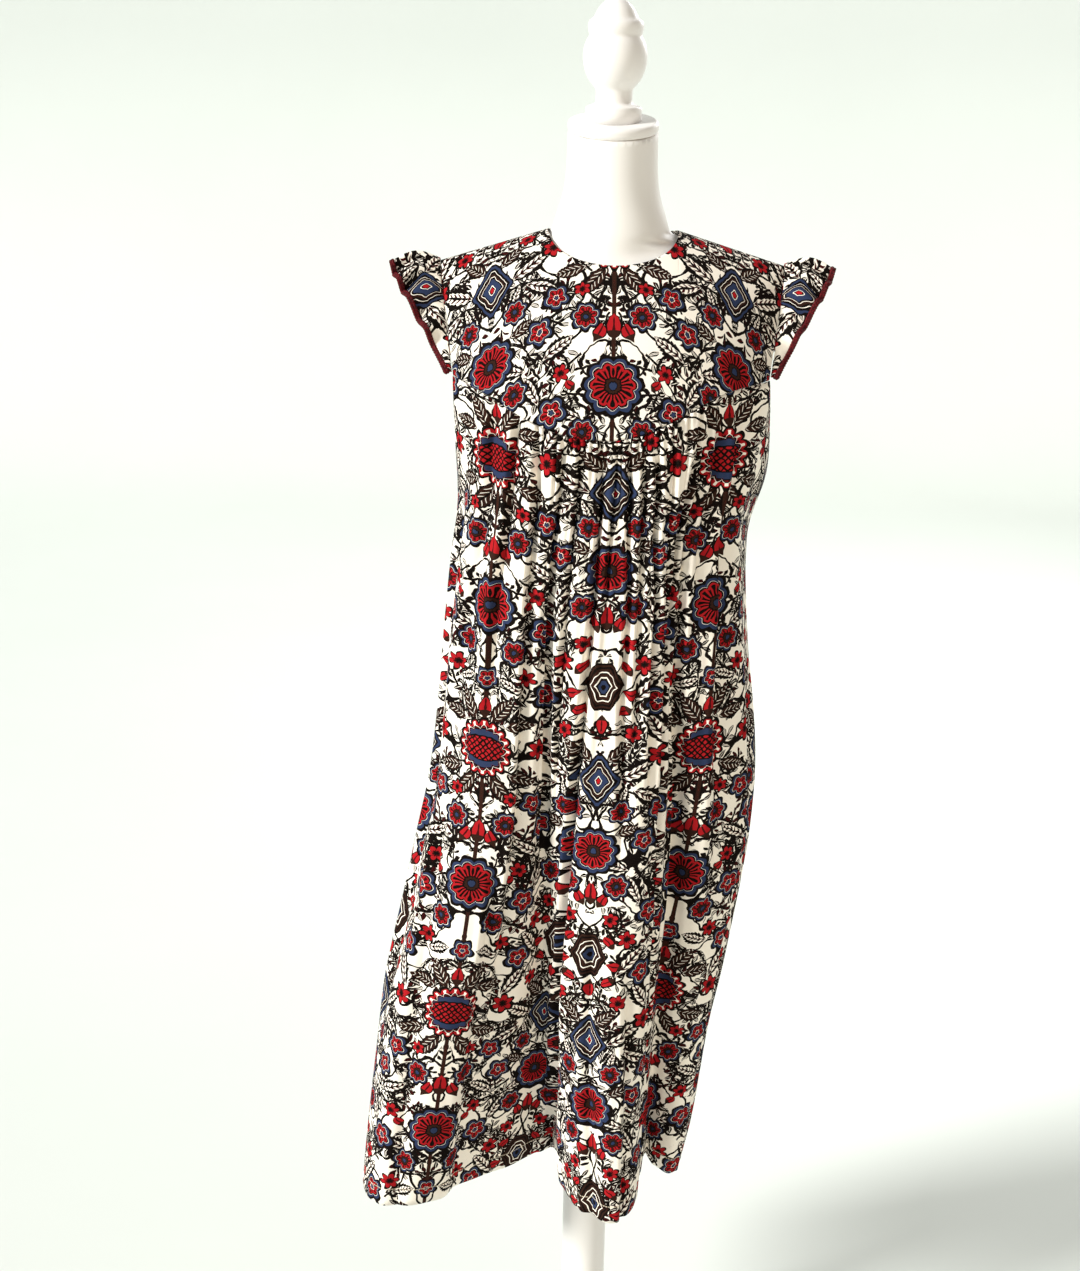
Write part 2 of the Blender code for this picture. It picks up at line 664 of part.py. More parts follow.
# ---------------------------------------------------------------- the gown's pieces
def make_yokes(collection):
    front = yoke_grid(True, -SHOULDER_HALF, SHOULDER_HALF, NECK_COLUMNS)
    cloth_panel("front_yoke", front, CLOTH, collection, "printed_cotton", (0, -1, 0.4))
    for name, side in (("back_yoke_left", -1.0), ("back_yoke_right", 1.0)):
        low, high = (-SHOULDER_HALF, 0.0) if side < 0 else (0.0, SHOULDER_HALF)
        grid = yoke_grid(False, low, high, NECK_COLUMNS)
        edge = -1 if side < 0 else 0
        grid[edge, :, 0] = DRESS_X + side * SLIT_HALF
        cloth_panel(name, grid, CLOTH, collection, "printed_cotton", (0, 1, 0.4))


def make_skirts(collection):
    cloth_panel("front_skirt", skirt_grid(True), CLOTH, collection, "printed_cotton", (0, -1, 0))
    cloth_panel("back_skirt", skirt_grid(False), CLOTH, collection, "printed_cotton", (0, 1, 0))


def make_sleeves(collection):
    for side, right in (("left", False), ("right", True)):
        grid = frill_grid(right)
        cloth_panel("sleeve_" + side, grid, FRILL_CLOTH, collection, "printed_cotton", (0, 0, 1))
        out = grid[:, -1] - grid[:, -2]
        out /= np.linalg.norm(out, axis=1)[:, None]
        facing = np.cross(np.gradient(grid[:, -1], axis=0), out)
        facing /= np.linalg.norm(facing, axis=1)[:, None]
        facing *= math.copysign(1.0, facing[len(facing) // 2, 2])
        route = grid[:, -1] + out * (BRAID_RADIUS + BRAID_GAP) + facing * FRILL_CLOTH / 2
        tube("sleeve_trim_" + side, route, BRAID_RADIUS, collection, "maroon_braid")


def make_button(collection):
    """A button on the left half of the back yoke, and a thread loop from the right half."""
    z = BACK_NECK_Z - BUTTON_DOWN
    spot = yoke_point(BUTTON_IN, z, False)
    across = yoke_point(BUTTON_IN + 0.001, z, False) - yoke_point(BUTTON_IN - 0.001, z, False)
    down = yoke_point(BUTTON_IN, z - 0.001, False) - yoke_point(BUTTON_IN, z + 0.001, False)
    across, down = Vector(across).normalized(), Vector(down).normalized()
    out = across.cross(down).normalized()
    if out.y < 0:
        out.negate()
    face = Vector(spot) + out * (CLOTH + 0.0004)
    profile = (
        (0.0, 0.0034), (BUTTON_RADIUS * 0.70, 0.0032), (BUTTON_RADIUS * 0.95, 0.0030),
        (BUTTON_RADIUS, 0.0024), (BUTTON_RADIUS * 0.95, 0.0019), (0.0016, 0.0018),
        (0.0014, 0.0010), (0.0014, 0.0), (0.0, 0.0),
    )
    button = turned("back_button", profile, collection, "pearl_button", steps=20)
    button.matrix_world = Matrix.Translation(face) @ out.to_track_quat("Z", "Y").to_matrix().to_4x4()
    side = across
    up = -down
    height = out * 0.0009
    bend = 0.0024
    route = [face + height + side * 0.0125 + up * bend]
    for i in range(9):
        turn = math.pi / 2 + math.pi * i / 8
        route.append(face + height + side * bend * math.cos(turn) + up * bend * math.sin(turn))
    route.append(face + height + side * 0.0125 - up * bend)
    tube("button_loop", [tuple(p) for p in route], LOOP_RADIUS, collection, "thread")


# ---------------------------------------------------------------- the dress form
def form_ring(z, half, front, back):
    """One closed ring of the form, a rounded oval."""
    ring = []
    for i in range(FORM_SIDES):
        turn = 2 * math.pi * i / FORM_SIDES
        cos, sin = math.cos(turn), math.sin(turn)
        x = half * math.copysign(abs(cos) ** (2 / FORM_POWER), cos)
        deep = front if sin > 0 else back
        y = -deep * math.copysign(abs(sin) ** (2 / FORM_POWER), sin)
        ring.append((x, y, z))
    return ring


def shoulder_ring(z, widest):
    """A ring through the form's shoulders: the gown's own surface moved in, and the neck."""
    slope = (NECK_POINT_Z - SHOULDER_TIP_Z) / (SHOULDER_HALF - NECK_HALF)
    aside = DRESS_X + FORM_EDGE
    reach = NECK_HALF + (NECK_POINT_Z - z - FORM_CLEAR) / slope - aside
    neck_half, neck_front, neck_back = read_table(NECK, z)
    half = max(neck_half, min(reach, widest))
    ring = []
    for i in range(FORM_SIDES):
        turn = 2 * math.pi * i / FORM_SIDES
        x = half * math.cos(turn)
        front = math.sin(turn) > 0
        neck = neck_front if front else neck_back
        neck_y = neck * math.sqrt(max(0.0, 1.0 - (x / neck_half) ** 2))
        shoulder_y = yoke_depth(abs(x) + aside, z + FORM_CLEAR, front) * FORM_SHARE
        y = max(neck_y, shoulder_y, FORM_EDGE) * min(1.0, 12.0 * abs(math.sin(turn)))
        ring.append((x, -y if front else y, z))
    return ring


def make_form(collection, cutters):
    rings = [form_ring(*row) for row in TORSO]
    rings += [shoulder_ring(*row) for row in SHOULDERS]
    for z, half, front, back in NECK:
        if z > SHOULDERS[-1][0] + 0.001:
            flat = (z - NECK[4][0]) / (NECK_TOP_Z - NECK[4][0])
            slant = NECK_SLANT * max(0.0, flat)
            top = FIT_GAP if z >= NECK_TOP_Z else 0.0
            ring = []
            for i in range(FORM_SIDES):
                turn = 2 * math.pi * i / FORM_SIDES
                x, y = half * math.cos(turn), -math.sin(turn)
                y *= front if y < 0 else back
                ring.append((x, y, z + slant * y - top))
            rings.append(ring)
    loft("form_torso", rings, collection, "white_paint")

    tilt = math.atan(NECK_SLANT)
    low, high = 0.0, CAP_THICK
    profile = [(0.0, high)]
    for i in range(5):
        turn = math.pi / 2 * i / 4
        profile.append((CAP_RADIUS - CAP_ROUND * (1 - math.sin(turn)), high - CAP_ROUND * (1 - math.cos(turn))))
    for i in range(5):
        turn = math.pi / 2 * i / 4
        profile.append((CAP_RADIUS - CAP_ROUND * (1 - math.cos(turn)), low + CAP_ROUND * (1 - math.sin(turn))))
    profile.append((0.0, low))
    cap = turned("neck_cap", profile, collection, "white_paint")
    cap.rotation_euler = (tilt, 0.0, 0.0)
    cap.location = (0.0, 0.0, NECK_TOP_Z)

    finial = turned("finial", FINIAL, collection, "white_paint")
    bpy.ops.mesh.primitive_cube_add(size=0.2)
    cutter = bpy.context.object
    cutter.name = "cap_plane"
    place_in(cutters, cutter)
    cutter.rotation_euler = (tilt, 0.0, 0.0)
    top = NECK_TOP_Z + (CAP_THICK + FIT_GAP) / math.cos(tilt)
    centre = Vector((0.0, 0.0, top)) - Matrix.Rotation(tilt, 3, "X") @ Vector((0.0, 0.0, 0.1))
    cutter.location = centre
    cutter.hide_render = True
    cutter.display_type = "WIRE"
    cut = finial.modifiers.new("Seat", "BOOLEAN")
    cut.operation = "DIFFERENCE"
    cut.object = cutter

    column_top = TORSO[0][0] - FIT_GAP
    column_low = BASE_THICK + FIT_GAP
    turned(
        "column",
        ((0.0, column_top), (COLUMN_RADIUS, column_top), (COLUMN_RADIUS, column_low), (0.0, column_low)),
        collection, "white_paint",
    )
    turned(
        "base",
        (
            (0.0, BASE_THICK), (0.050, BASE_THICK), (BASE_RADIUS - 0.020, BASE_THICK - 0.003),
            (BASE_RADIUS - 0.006, BASE_THICK - 0.007), (BASE_RADIUS, BASE_THICK - 0.013),
            (BASE_RADIUS, 0.002), (BASE_RADIUS - 0.002, 0.0), (0.0, 0.0),
        ),
        collection, "white_paint", steps=48,
    )


def main():
    for thing in list(bpy.data.objects):
        bpy.data.objects.remove(thing)
    scene = bpy.context.scene
    collection = bpy.data.collections.new(NAME)
    cutters = bpy.data.collections.new("cutters")
    scene.collection.children.link(collection)
    scene.collection.children.link(cutters)
    make_yokes(collection)
    make_skirts(collection)
    make_sleeves(collection)
    make_button(collection)
    make_form(collection, cutters)


main()
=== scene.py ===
"""Muumuu on a dress form: the cloth with its folds and print, the turned form, light and camera.

The gown is cut in pieces, as a maker would: a front yoke, a back yoke in two halves, a front and
a back skirt panel gathered into the yokes, and a frill round each armhole edged with braid.
Metres, +Z up, +Y to the back.
"""

import math

import bpy
import numpy as np
from bpy.props import FloatProperty, FloatVectorProperty, IntProperty, PointerProperty
from bpy.types import Operator, Panel, PropertyGroup
from mathutils import Matrix, Vector


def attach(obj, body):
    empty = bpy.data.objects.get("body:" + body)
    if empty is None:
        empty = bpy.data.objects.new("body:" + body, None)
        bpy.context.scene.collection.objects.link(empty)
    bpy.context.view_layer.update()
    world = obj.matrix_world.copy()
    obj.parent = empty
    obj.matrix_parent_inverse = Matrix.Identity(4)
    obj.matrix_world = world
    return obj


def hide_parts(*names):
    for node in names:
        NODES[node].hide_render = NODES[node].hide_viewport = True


bl_info = {
    "name": "Muumuu on a Dress Form",
    "version": (1, 0, 0),
    "blender": (4, 5, 0),
    "location": "3D Viewport > Sidebar > Muumuu",
    "description": "Models a printed cotton muumuu on a turned dress form",
    "category": "Object",
}

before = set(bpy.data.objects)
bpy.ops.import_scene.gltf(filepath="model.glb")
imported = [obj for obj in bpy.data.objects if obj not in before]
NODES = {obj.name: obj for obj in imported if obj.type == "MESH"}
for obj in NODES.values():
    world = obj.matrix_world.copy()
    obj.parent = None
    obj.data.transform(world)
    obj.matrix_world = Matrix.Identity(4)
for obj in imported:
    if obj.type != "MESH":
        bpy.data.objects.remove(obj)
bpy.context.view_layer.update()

# ---------------------------------------------------------------- sizes shared with the solids
DRESS_X = 0.003
NECK_HALF = 0.0705
NECK_POINT_Z = 1.474
FRONT_NECK_Z = 1.444
BACK_NECK_Z = 1.465
SHOULDER_HALF = 0.190
SHOULDER_TIP_Z = 1.437
YOKE_HALF = 0.195
YOKE_PLAN_POWER = 2.3
YOKE_FALL_POWER = 1.75
FRONT_SHAPE = (0.136, 0.200, 0.006)   # depth, fall and rise of the ridge
BACK_SHAPE = (0.108, 0.170, 0.035)
YOKE_END_HALF = 0.1725
YOKE_END_Z = 1.322
YOKE_LOW_Z = 1.2665
BACK_SEAM_LOW_Z = 1.316
FRONT_SEAM_LEFT = ((0.00, 0.00), (0.30, 0.09), (0.55, 0.38), (0.78, 0.74), (1.00, 1.00))
FRONT_SEAM_RIGHT = ((0.00, 0.00), (0.20, 0.13), (0.43, 0.47), (0.70, 0.86), (1.00, 1.00))
BACK_SEAM = ((0.00, 0.00), (0.50, 0.25), (1.00, 1.00))
UNDERARM_Z = 1.250
HEM_Z = 0.314
BLEND = 0.13
SKIRT_TOP_Z = 1.25
NECK_TOP_Z = 1.580
NECK_SLANT = 0.146
NECK_RIM = 0.008        # below the neck's top, where the form's sharp upper edge begins
FORM_LOW_Z = 0.801      # just above the form's flat underside
CAP_THICK = 0.0125

# height, left edge and right edge of the skirt seen from the front, in millimetres
OUTLINE = (
    (1250, -167, 186), (1213, -162, 180), (1166, -165, 167), (1110, -171, 165), (1046, -176, 169),
    (947, -184, 179), (833, -196, 187), (775, -209, 184), (716, -221, 177), (640, -237, 165),
    (580, -249, 156), (506, -259, 144), (435, -266, 135), (380, -271, 129), (314, -276, 119),
)
LINE_HEIGHTS = (1.25, 0.95, 0.65, 0.314)
# lines down the skirt, round it from the left side seam over the front: x and y at four heights,
# and how much the hem rises there, in millimetres
LINES = (
    (-167, 0, -178, 0, -222, 0, -258, 0, 0),
    (-166, -36, -186, -32, -237, -50, -277, -70, 0),
    (-156, -73, -179, -78, -222, -106, -265, -119, 1),
    (-137, -101, -152, -117, -182, -138, -226, -139, 2),
    (-115, -118, -122, -134, -146, -143, -190, -121, 3),
    (-93, -127, -98, -138, -116, -134, -150, -87, 4),
    (-72, -132, -79, -133, -90, -117, -108, -52, 6),
    (-49, -136, -63, -124, -63, -91, -47, -34, 22),
    (-30, -139, -44, -132, -46, -105, -30, -86, 6),
    (-5, -140, -17, -142, -31, -130, -12, -131, 2),
    (21, -140, 15, -148, 12, -153, 22, -158, 0),
    (49, -139, 50, -147, 52, -148, 49, -146, 0),
    (70, -136, 67, -137, 66, -120, 61, -88, 6),
    (88, -129, 80, -123, 82, -90, 73, -34, 21),
    (108, -120, 99, -125, 104, -96, 86, -46, 10),
    (135, -103, 130, -117, 131, -94, 104, -55, 4),
    (168, -64, 167, -66, 157, -58, 119, -34, 2),
    (186, 0, 180, 0, 165, 0, 120, 12, 0),
    (178, 40, 172, 42, 158, 52, 121, 66, 0),
    (150, 74, 140, 92, 130, 104, 98, 118, 0),
    (105, 95, 94, 112, 86, 113, 56, 104, 4),
    (52, 103, 43, 130, 32, 146, 10, 158, 0),
    (2, 104, -8, 122, -22, 125, -44, 118, 4),
    (-47, 101, -60, 130, -78, 149, -100, 166, 0),
    (-94, 90, -108, 112, -134, 120, -156, 126, 3),
    (-132, 69, -148, 86, -182, 108, -207, 136, 0),
    (-158, 36, -172, 43, -214, 54, -250, 70, 0),
)
FRONT_LAST = 17
FRONT_CORNERS = (2, 16)
BACK_CORNERS = (18, 26)

# the print's height at the top of each piece, at the back (False) and the front (True)
YOKE_PRINT_START = {False: 0.120, True: 0.150}
SKIRT_PRINT_START = {False: 0.090, True: 0.180}
FRILL_PRINT_START = 0.205
# the places along the front skirt's lines where the print's mirror axes stand, left and right of
# the valley, and the one along the back's
FRONT_AXES = (3.7, 9.55)
BACK_AXIS = 5.0
KNEE_Z = 0.58
LEVELS = 240            # heights at which the skirt's round is worked out

# frills
FRILL_WIDTH = 0.050
FRILL_END_WIDTH = 0.002
FRILL_ARCH = 0.010
FRILL_TAPER = 1.15
FRILL_REACH = 0.985
FRILL_SPREAD = 0.5
FRILL_LIFT = -0.13
FRILL_CLOTH = 0.0009
# the braid's three strands: how far past the frill's edge, and how they are plaited
BRAID_OUT = 0.0030
BRAID_LAY = 0.0100
BRAID_SWING = 0.0019
BRAID_RISE = 0.0011

# ---------------------------------------------------------------- the maker's own sizes
SEAM_INSET = 0.0002     # between a piece's edge and its seam
BACK_SPLIT = 0.0006     # between each back yoke and the centre back
WORN = 0.0006           # how uneven worn cloth is
BUTTON_X = -0.0085
BUTTON_DROP = 0.009     # below the back neck
BUTTON_LIFT = 0.0018    # off the cloth's inner face
LOOP_BEND = 0.0024      # radius of the thread loop's bend
LOOP_REACH = (0.0125, 0.008, 0.004)
# folds in the skirt: the height and the place along the lines of points down each one, its
# half-width and how far it stands out (or in, below zero), in metres; the long valley comes first,
# where the print goes over from one mirror axis to the next
VALLEY = ((1.262, 9.0), (1.07, 8.9), (0.948, 8.75), (0.813, 8.56), (0.651, 8.31), (0.5, 7.75),
          (0.356, 7.06), (0.12, 6.9))
FRONT_FOLDS = (
    (VALLEY, 0.005, -0.008),
    (((1.29, 4.75), (1.198, 4.31), (1.083, 3.9), (0.9, 3.8)), 0.008, -0.006),
    (((1.3, 3.6), (1.18, 3.1), (1.0, 2.6), (0.85, 2.5)), 0.011, -0.0045),
    (((1.268, 5.8), (1.18, 5.6), (1.05, 5.45), (0.8, 5.3), (0.42, 5.1)), 0.0085, -0.0055),
    (((1.265, 7.0), (1.153, 6.7), (0.945, 6.9), (0.7, 6.9)), 0.005, -0.0065),
    (((1.265, 7.9), (1.15, 7.8), (0.95, 7.75), (0.78, 7.8)), 0.0042, -0.0045),
    (((1.262, 9.55), (1.18, 9.45), (1.06, 9.4)), 0.003, -0.004),
    (((1.256, 10.0), (1.094, 10.31), (0.977, 10.15), (0.738, 10.31)), 0.0042, -0.006),
    (((1.256, 10.5), (1.15, 10.75), (0.93, 10.6), (0.86, 10.6)), 0.0035, -0.0045),
    (((1.258, 11.06), (1.092, 11.62), (0.95, 11.2), (0.8, 11.05)), 0.0045, -0.006),
    (((1.262, 12.0), (1.15, 12.3), (1.0, 12.2)), 0.0035, -0.004),
    (((1.275, 13.5), (1.231, 13.25), (1.089, 12.69), (0.949, 11.95), (0.797, 11.6), (0.595, 11.75),
      (0.319, 11.85), (0.12, 11.9)), 0.005, -0.0075),
    (((1.28, 13.9), (1.15, 13.6), (0.95, 13.1), (0.7, 13.0), (0.45, 13.0)), 0.006, -0.0065),
    (((1.3, 15.12), (1.083, 15.31), (0.846, 14.9), (0.6, 14.7)), 0.007, -0.006),
    (((1.29, 14.4), (1.12, 14.3), (0.98, 14.1)), 0.0045, -0.0045),
    (((1.18, 1.6), (0.9, 1.4), (0.42, 1.3)), 0.014, -0.0055),
    (((0.82, 2.4), (0.6, 2.6), (0.15, 2.9)), 0.012, -0.005),
    (((0.76, 4.5), (0.56, 4.6), (0.15, 4.7)), 0.011, -0.0045),
    (((0.7, 9.6), (0.5, 9.5), (0.15, 9.4)), 0.008, -0.0045),
    (((0.64, 10.6), (0.48, 10.7), (0.15, 10.6)), 0.007, -0.004),
    (((1.0, 16.1), (0.7, 15.9), (0.15, 15.8)), 0.009, -0.005),
)
BACK_FOLDS = (
    (((1.3, 1.6), (0.9, 1.5), (0.62, 1.4)), 0.009, -0.006),
    (((1.31, 2.5), (1.1, 2.6), (0.95, 2.6)), 0.005, -0.0045),
    (((1.312, 3.2), (0.9, 3.4), (0.48, 3.3)), 0.008, -0.007),
    (((1.314, 4.1), (1.05, 4.3), (0.88, 4.3)), 0.005, -0.005),
    (((1.316, 4.9), (0.9, 5.0), (0.4, 5.1)), 0.008, -0.007),
    (((1.314, 5.7), (1.1, 5.8), (0.94, 5.8)), 0.005, -0.0045),
    (((1.312, 6.6), (0.9, 6.8), (0.52, 6.7)), 0.008, -0.0065),
    (((1.305, 7.4), (1.05, 7.5), (0.8, 7.5)), 0.006, -0.005),
    (((1.29, 8.5), (0.9, 8.7), (0.44, 8.6)), 0.01, -0.006),
    (((1.18, 9.3), (0.8, 9.2), (0.42, 9.2)), 0.012, -0.005),
)
# short tucks at the yoke seams: place, length, half-width, depth
FRONT_TUCKS = (
    (5.1, 0.06, 0.0022, 0.0024), (5.8, 0.11, 0.0025, 0.003), (6.15, 0.045, 0.002, 0.0022),
    (6.7, 0.13, 0.0026, 0.0034), (7.3, 0.07, 0.002, 0.0026), (7.55, 0.16, 0.0026, 0.0034),
    (8.2, 0.09, 0.0022, 0.0028), (8.85, 0.19, 0.0026, 0.0036), (9.15, 0.06, 0.002, 0.0026),
    (9.75, 0.14, 0.0024, 0.0034), (10.4, 0.08, 0.002, 0.0028), (10.7, 0.17, 0.0026, 0.0034),
    (11.25, 0.1, 0.0022, 0.003), (11.95, 0.15, 0.0024, 0.0034), (12.2, 0.07, 0.002, 0.0026),
    (12.85, 0.12, 0.0024, 0.003), (13.55, 0.09, 0.0022, 0.0028), (14.0, 0.06, 0.002, 0.0024),
)
BACK_TUCKS = (
    (2.2, 0.07, 0.0024, 0.0024), (2.8, 0.12, 0.0026, 0.003), (3.45, 0.06, 0.0022, 0.0026),
    (3.85, 0.15, 0.0026, 0.0032), (4.45, 0.08, 0.0022, 0.0028), (4.7, 0.13, 0.0026, 0.0032),
    (5.35, 0.07, 0.0022, 0.0026), (5.95, 0.14, 0.0026, 0.0032), (6.3, 0.06, 0.0022, 0.0026),
    (6.95, 0.11, 0.0026, 0.003), (7.2, 0.06, 0.0022, 0.0024),
)

FINIAL = (
    # radius, z, from the seat up to the tip
    (0.0304, 1.5700), (0.0304, 1.6045), (0.0297, 1.6060), (0.0280, 1.6070), (0.0214, 1.6090),
    (0.0202, 1.6105), (0.0198, 1.6130), (0.0198, 1.6225), (0.0204, 1.6245), (0.0218, 1.6265),
    (0.0238, 1.6288), (0.0262, 1.6315), (0.0288, 1.6352), (0.0310, 1.6400), (0.0328, 1.6450),
    (0.0340, 1.6500), (0.0346, 1.6550), (0.0347, 1.6600), (0.0343, 1.6645), (0.0334, 1.6690),
    (0.0321, 1.6730), (0.0305, 1.6765), (0.0291, 1.6788), (0.0284, 1.6805), (0.0286, 1.6825),
    (0.0294, 1.6850), (0.0299, 1.6878), (0.0300, 1.6905), (0.0296, 1.6932), (0.0285, 1.6955),
    (0.0266, 1.6970), (0.0245, 1.6985), (0.0227, 1.7013), (0.0212, 1.7045), (0.0198, 1.7072),
    (0.0180, 1.7095), (0.0156, 1.7125), (0.0128, 1.7150), (0.0100, 1.7172), (0.0070, 1.7188),
    (0.0034, 1.7197), (0.0000, 1.7200),
)

# the stage: a floor that sweeps up into a wall well behind the gown
FLOOR_SIZE = 14.0
FLOOR_Y = -1.0
WALL_HEIGHT = 5.0
SWEEP_RADIUS = 1.5
# name, kind, place, size (a sun's in radians), power and tint
LIGHTS = (
    ("window_light", "SUN", (-3.2, -1.55, 2.7), math.radians(14), 4.6, "#FFFDF8"),
    ("room_fill", "AREA", (1.6, -3.0, 1.4), 2.4, 20.0, "#FFDDB0"),
    ("back_light", "AREA", (1.8, 2.8, 2.6), 1.8, 70.0, "#FFFFFF"),
)
LIGHT_AIM = Vector((0.0, 0.0, 0.9))
ROOM_TINT = (1.0, 0.96, 0.90)
ROOM_STRENGTH = 0.36
CAMERA_PLACE = (-0.070, -2.30, 1.75)
CAMERA_LENS = 58.4
CAMERA_TILT = 72.0
CAMERA_ROLL = 1.0


def linear(code):
    """Linear colour of an sRGB hex value."""
    parts = [int(code[i:i + 2], 16) / 255 for i in (1, 3, 5)]
    return tuple(p / 12.92 if p <= 0.04045 else ((p + 0.055) / 1.055) ** 2.4 for p in parts)


def ink(name, code):
    """A colour of the print that can be changed in the panel."""
    return FloatVectorProperty(
        name=name, description="Print colour: " + name.lower(), default=linear(code),
        subtype="COLOR", size=3, min=0.0, max=1.0,
    )


def length(name, description, default):
    """A length that can be changed in the panel."""
    return FloatProperty(name=name, description=description, default=default, unit="LENGTH")


class MuumuuSettings(PropertyGroup):
    """What a user would change about the gown and its form."""
    cloth: length("Cloth", "Drawn thickness of the gown's cotton", 0.0010)
    crease: FloatProperty(
        name="Fold depth", description="How many times as deep as the tables say the folds are",
        default=1.7, min=0.0, max=2.5,
    )
    waves: IntProperty(name="Frill waves", description="Waves along each frill's free edge", default=9)
    wave_depth: length("Frill wave depth", "How far a frill's edge waves", 0.0062)
    braid: length("Braid", "Radius of one strand of the braid", 0.0016)
    repeat: length("Print repeat", "Height of one repeat of the print", 0.330)
    half: length("Print half width", "Distance between two mirror axes of the print", 0.137)
    ivory: ink("Ivory ground", "#FBF5EA")
    black: ink("Black outlines", "#080404")
    red: ink("Red petals", "#A81820")
    maroon: ink("Maroon buds", "#3C080C")
    blue: ink("Slate blue rims", "#293655")
    brown: ink("Brown stems", "#2E1913")


def sizes():
    return bpy.context.scene.muumuu


# ---------------------------------------------------------------- small maths
def smoothstep(t):
    t = np.clip(t, 0.0, 1.0)
    return t * t * (3.0 - 2.0 * t)


def through(stations, values, at):
    """A smooth curve through values at rising stations, read at many places at once."""
    stations = np.asarray(stations, float)
    values = np.asarray(values, float)
    at = np.clip(np.asarray(at, float), stations[0], stations[-1])
    slopes = np.gradient(values, stations, axis=0)
    i = np.clip(np.searchsorted(stations, at) - 1, 0, len(stations) - 2)
    span = stations[i + 1] - stations[i]
    t = (at - stations[i]) / span
    if values.ndim > 1:
        shape = t.shape + (1,) * (values.ndim - 1)
        t, span = t.reshape(shape), span.reshape(shape)
    return (
        values[i] * (1 + 2 * t) * (1 - t) ** 2
        + values[i + 1] * t * t * (3 - 2 * t)
        + slopes[i] * span * t * (1 - t) ** 2
        - slopes[i + 1] * span * t * t * (1 - t)
    )


def unit(vectors):
    return vectors / np.maximum(np.linalg.norm(vectors, axis=-1, keepdims=True), 1e-12)


def lengths(points, axis=0):
    """Lengths run along lines of points: nothing at the first point of each."""
    steps = np.linalg.norm(np.diff(points, axis=axis), axis=-1)
    return np.insert(np.cumsum(steps, axis=axis), 0, 0.0, axis=axis)


# ---------------------------------------------------------------- the yoke's surface
def ridge_z(x, rise):
    """Height of the shoulder line; inside the neck it is carried on in an arch."""
    x = np.abs(x)
    slope = (NECK_POINT_Z - SHOULDER_TIP_Z) / (SHOULDER_HALF - NECK_HALF)
    inside = NECK_POINT_Z + rise * (1.0 - (x / NECK_HALF) ** 2)
    return np.where(x < NECK_HALF, inside, NECK_POINT_Z - slope * (x - NECK_HALF))


def yoke_point(x, z, front):
    """Points of the yoke's inner face, in the world."""
    depth, fall, rise = FRONT_SHAPE if front else BACK_SHAPE
    plan = np.maximum(0.0, 1.0 - (np.abs(x) / YOKE_HALF) ** YOKE_PLAN_POWER) ** (1.0 / YOKE_PLAN_POWER)
    down = np.clip((ridge_z(x, rise) - z) / fall, 0.0, 1.0)
    profile = (1.0 - (1.0 - down) ** YOKE_FALL_POWER) ** (1.0 / YOKE_FALL_POWER)
    y = depth * plan * profile
    return np.stack((x + DRESS_X, -y if front else y, z), axis=-1)


def yoke_seam_z(x, front):
    """Height of the seam between yoke and skirt: a U that ends at the armholes."""
    low = YOKE_LOW_Z if front else BACK_SEAM_LOW_Z
    away = np.abs(x) / YOKE_END_HALF
    if front:
        left, right = (through(*zip(*rows), away) for rows in (FRONT_SEAM_LEFT, FRONT_SEAM_RIGHT))
        rise = np.where(x < 0.0, left, right)
    else:
        rise = through(*zip(*BACK_SEAM), away)
    return low + (YOKE_END_Z - low) * rise


def yoke_columns(top_x, top_z, bottom_x, front, rows):
    """Columns of the yoke, from its top edge down the surface to the yoke seam."""
    _, fall, rise = FRONT_SHAPE if front else BACK_SHAPE
    bottom_z = yoke_seam_z(bottom_x, front)
    first = (ridge_z(top_x, rise) - top_z) / fall
    last = (ridge_z(bottom_x, rise) - bottom_z) / fall
    start = np.arccos(np.clip(1.0 - first, -1.0, 1.0))[:, None]
    end = (np.arccos(np.clip(1.0 - last, 0.0, 1.0)) + np.maximum(0.0, last - 1.0))[:, None]
    angle = start + (end - start) * np.linspace(0.0, 1.0, rows + 1)[None]
    down = 1.0 - np.cos(np.minimum(angle, math.pi / 2)) + np.maximum(0.0, angle - math.pi / 2)
    share = (down - first[:, None]) / (last - first)[:, None]
    x = top_x[:, None] + (bottom_x - top_x)[:, None] * share
    return yoke_point(x, ridge_z(x, rise) - fall * down, front)


def yoke_grid(front, from_x, to_x, rows=64, shoulder=36, neck=64):
    """The yoke between two places across it, from left to right."""
    low = FRONT_NECK_Z if front else BACK_NECK_Z
    out = np.linspace(SHOULDER_HALF, NECK_HALF, shoulder, endpoint=False)
    turn = np.linspace(math.pi, 0.0, neck + 1)
    x = np.concatenate((-out, NECK_HALF * np.cos(turn), out[::-1]))
    curve = NECK_POINT_Z - (NECK_POINT_Z - low) * np.sin(turn)
    z = np.concatenate((ridge_z(out, 0.0), curve, ridge_z(out[::-1], 0.0)))
    kept = (x > from_x - 1e-9) & (x < to_x + 1e-9)
    x, z = x[kept], z[kept]
    return yoke_columns(x, z, x * YOKE_END_HALF / SHOULDER_HALF, front, rows)


def yoke_map(grid, front):
    """The print on a yoke: lengths over its surface, across from its middle and down from the ridge."""
    x, z = grid[..., :1] - DRESS_X, grid[..., 2:]
    part = np.linspace(0.0, 1.0, 40)
    ridge = ridge_z(x, (FRONT_SHAPE if front else BACK_SHAPE)[2])
    level = yoke_point(x * part, z + 0.0 * part, front)
    fall = yoke_point(x + 0.0 * part, ridge - (ridge - z) * part ** 2, front)
    across, down = (np.linalg.norm(np.diff(path, axis=-2), axis=-1).sum(axis=-1) for path in (level, fall))
    across = across * np.sign(x[..., 0]) + (0.0 if front else sizes().half)
    return across, down + YOKE_PRINT_START[front]


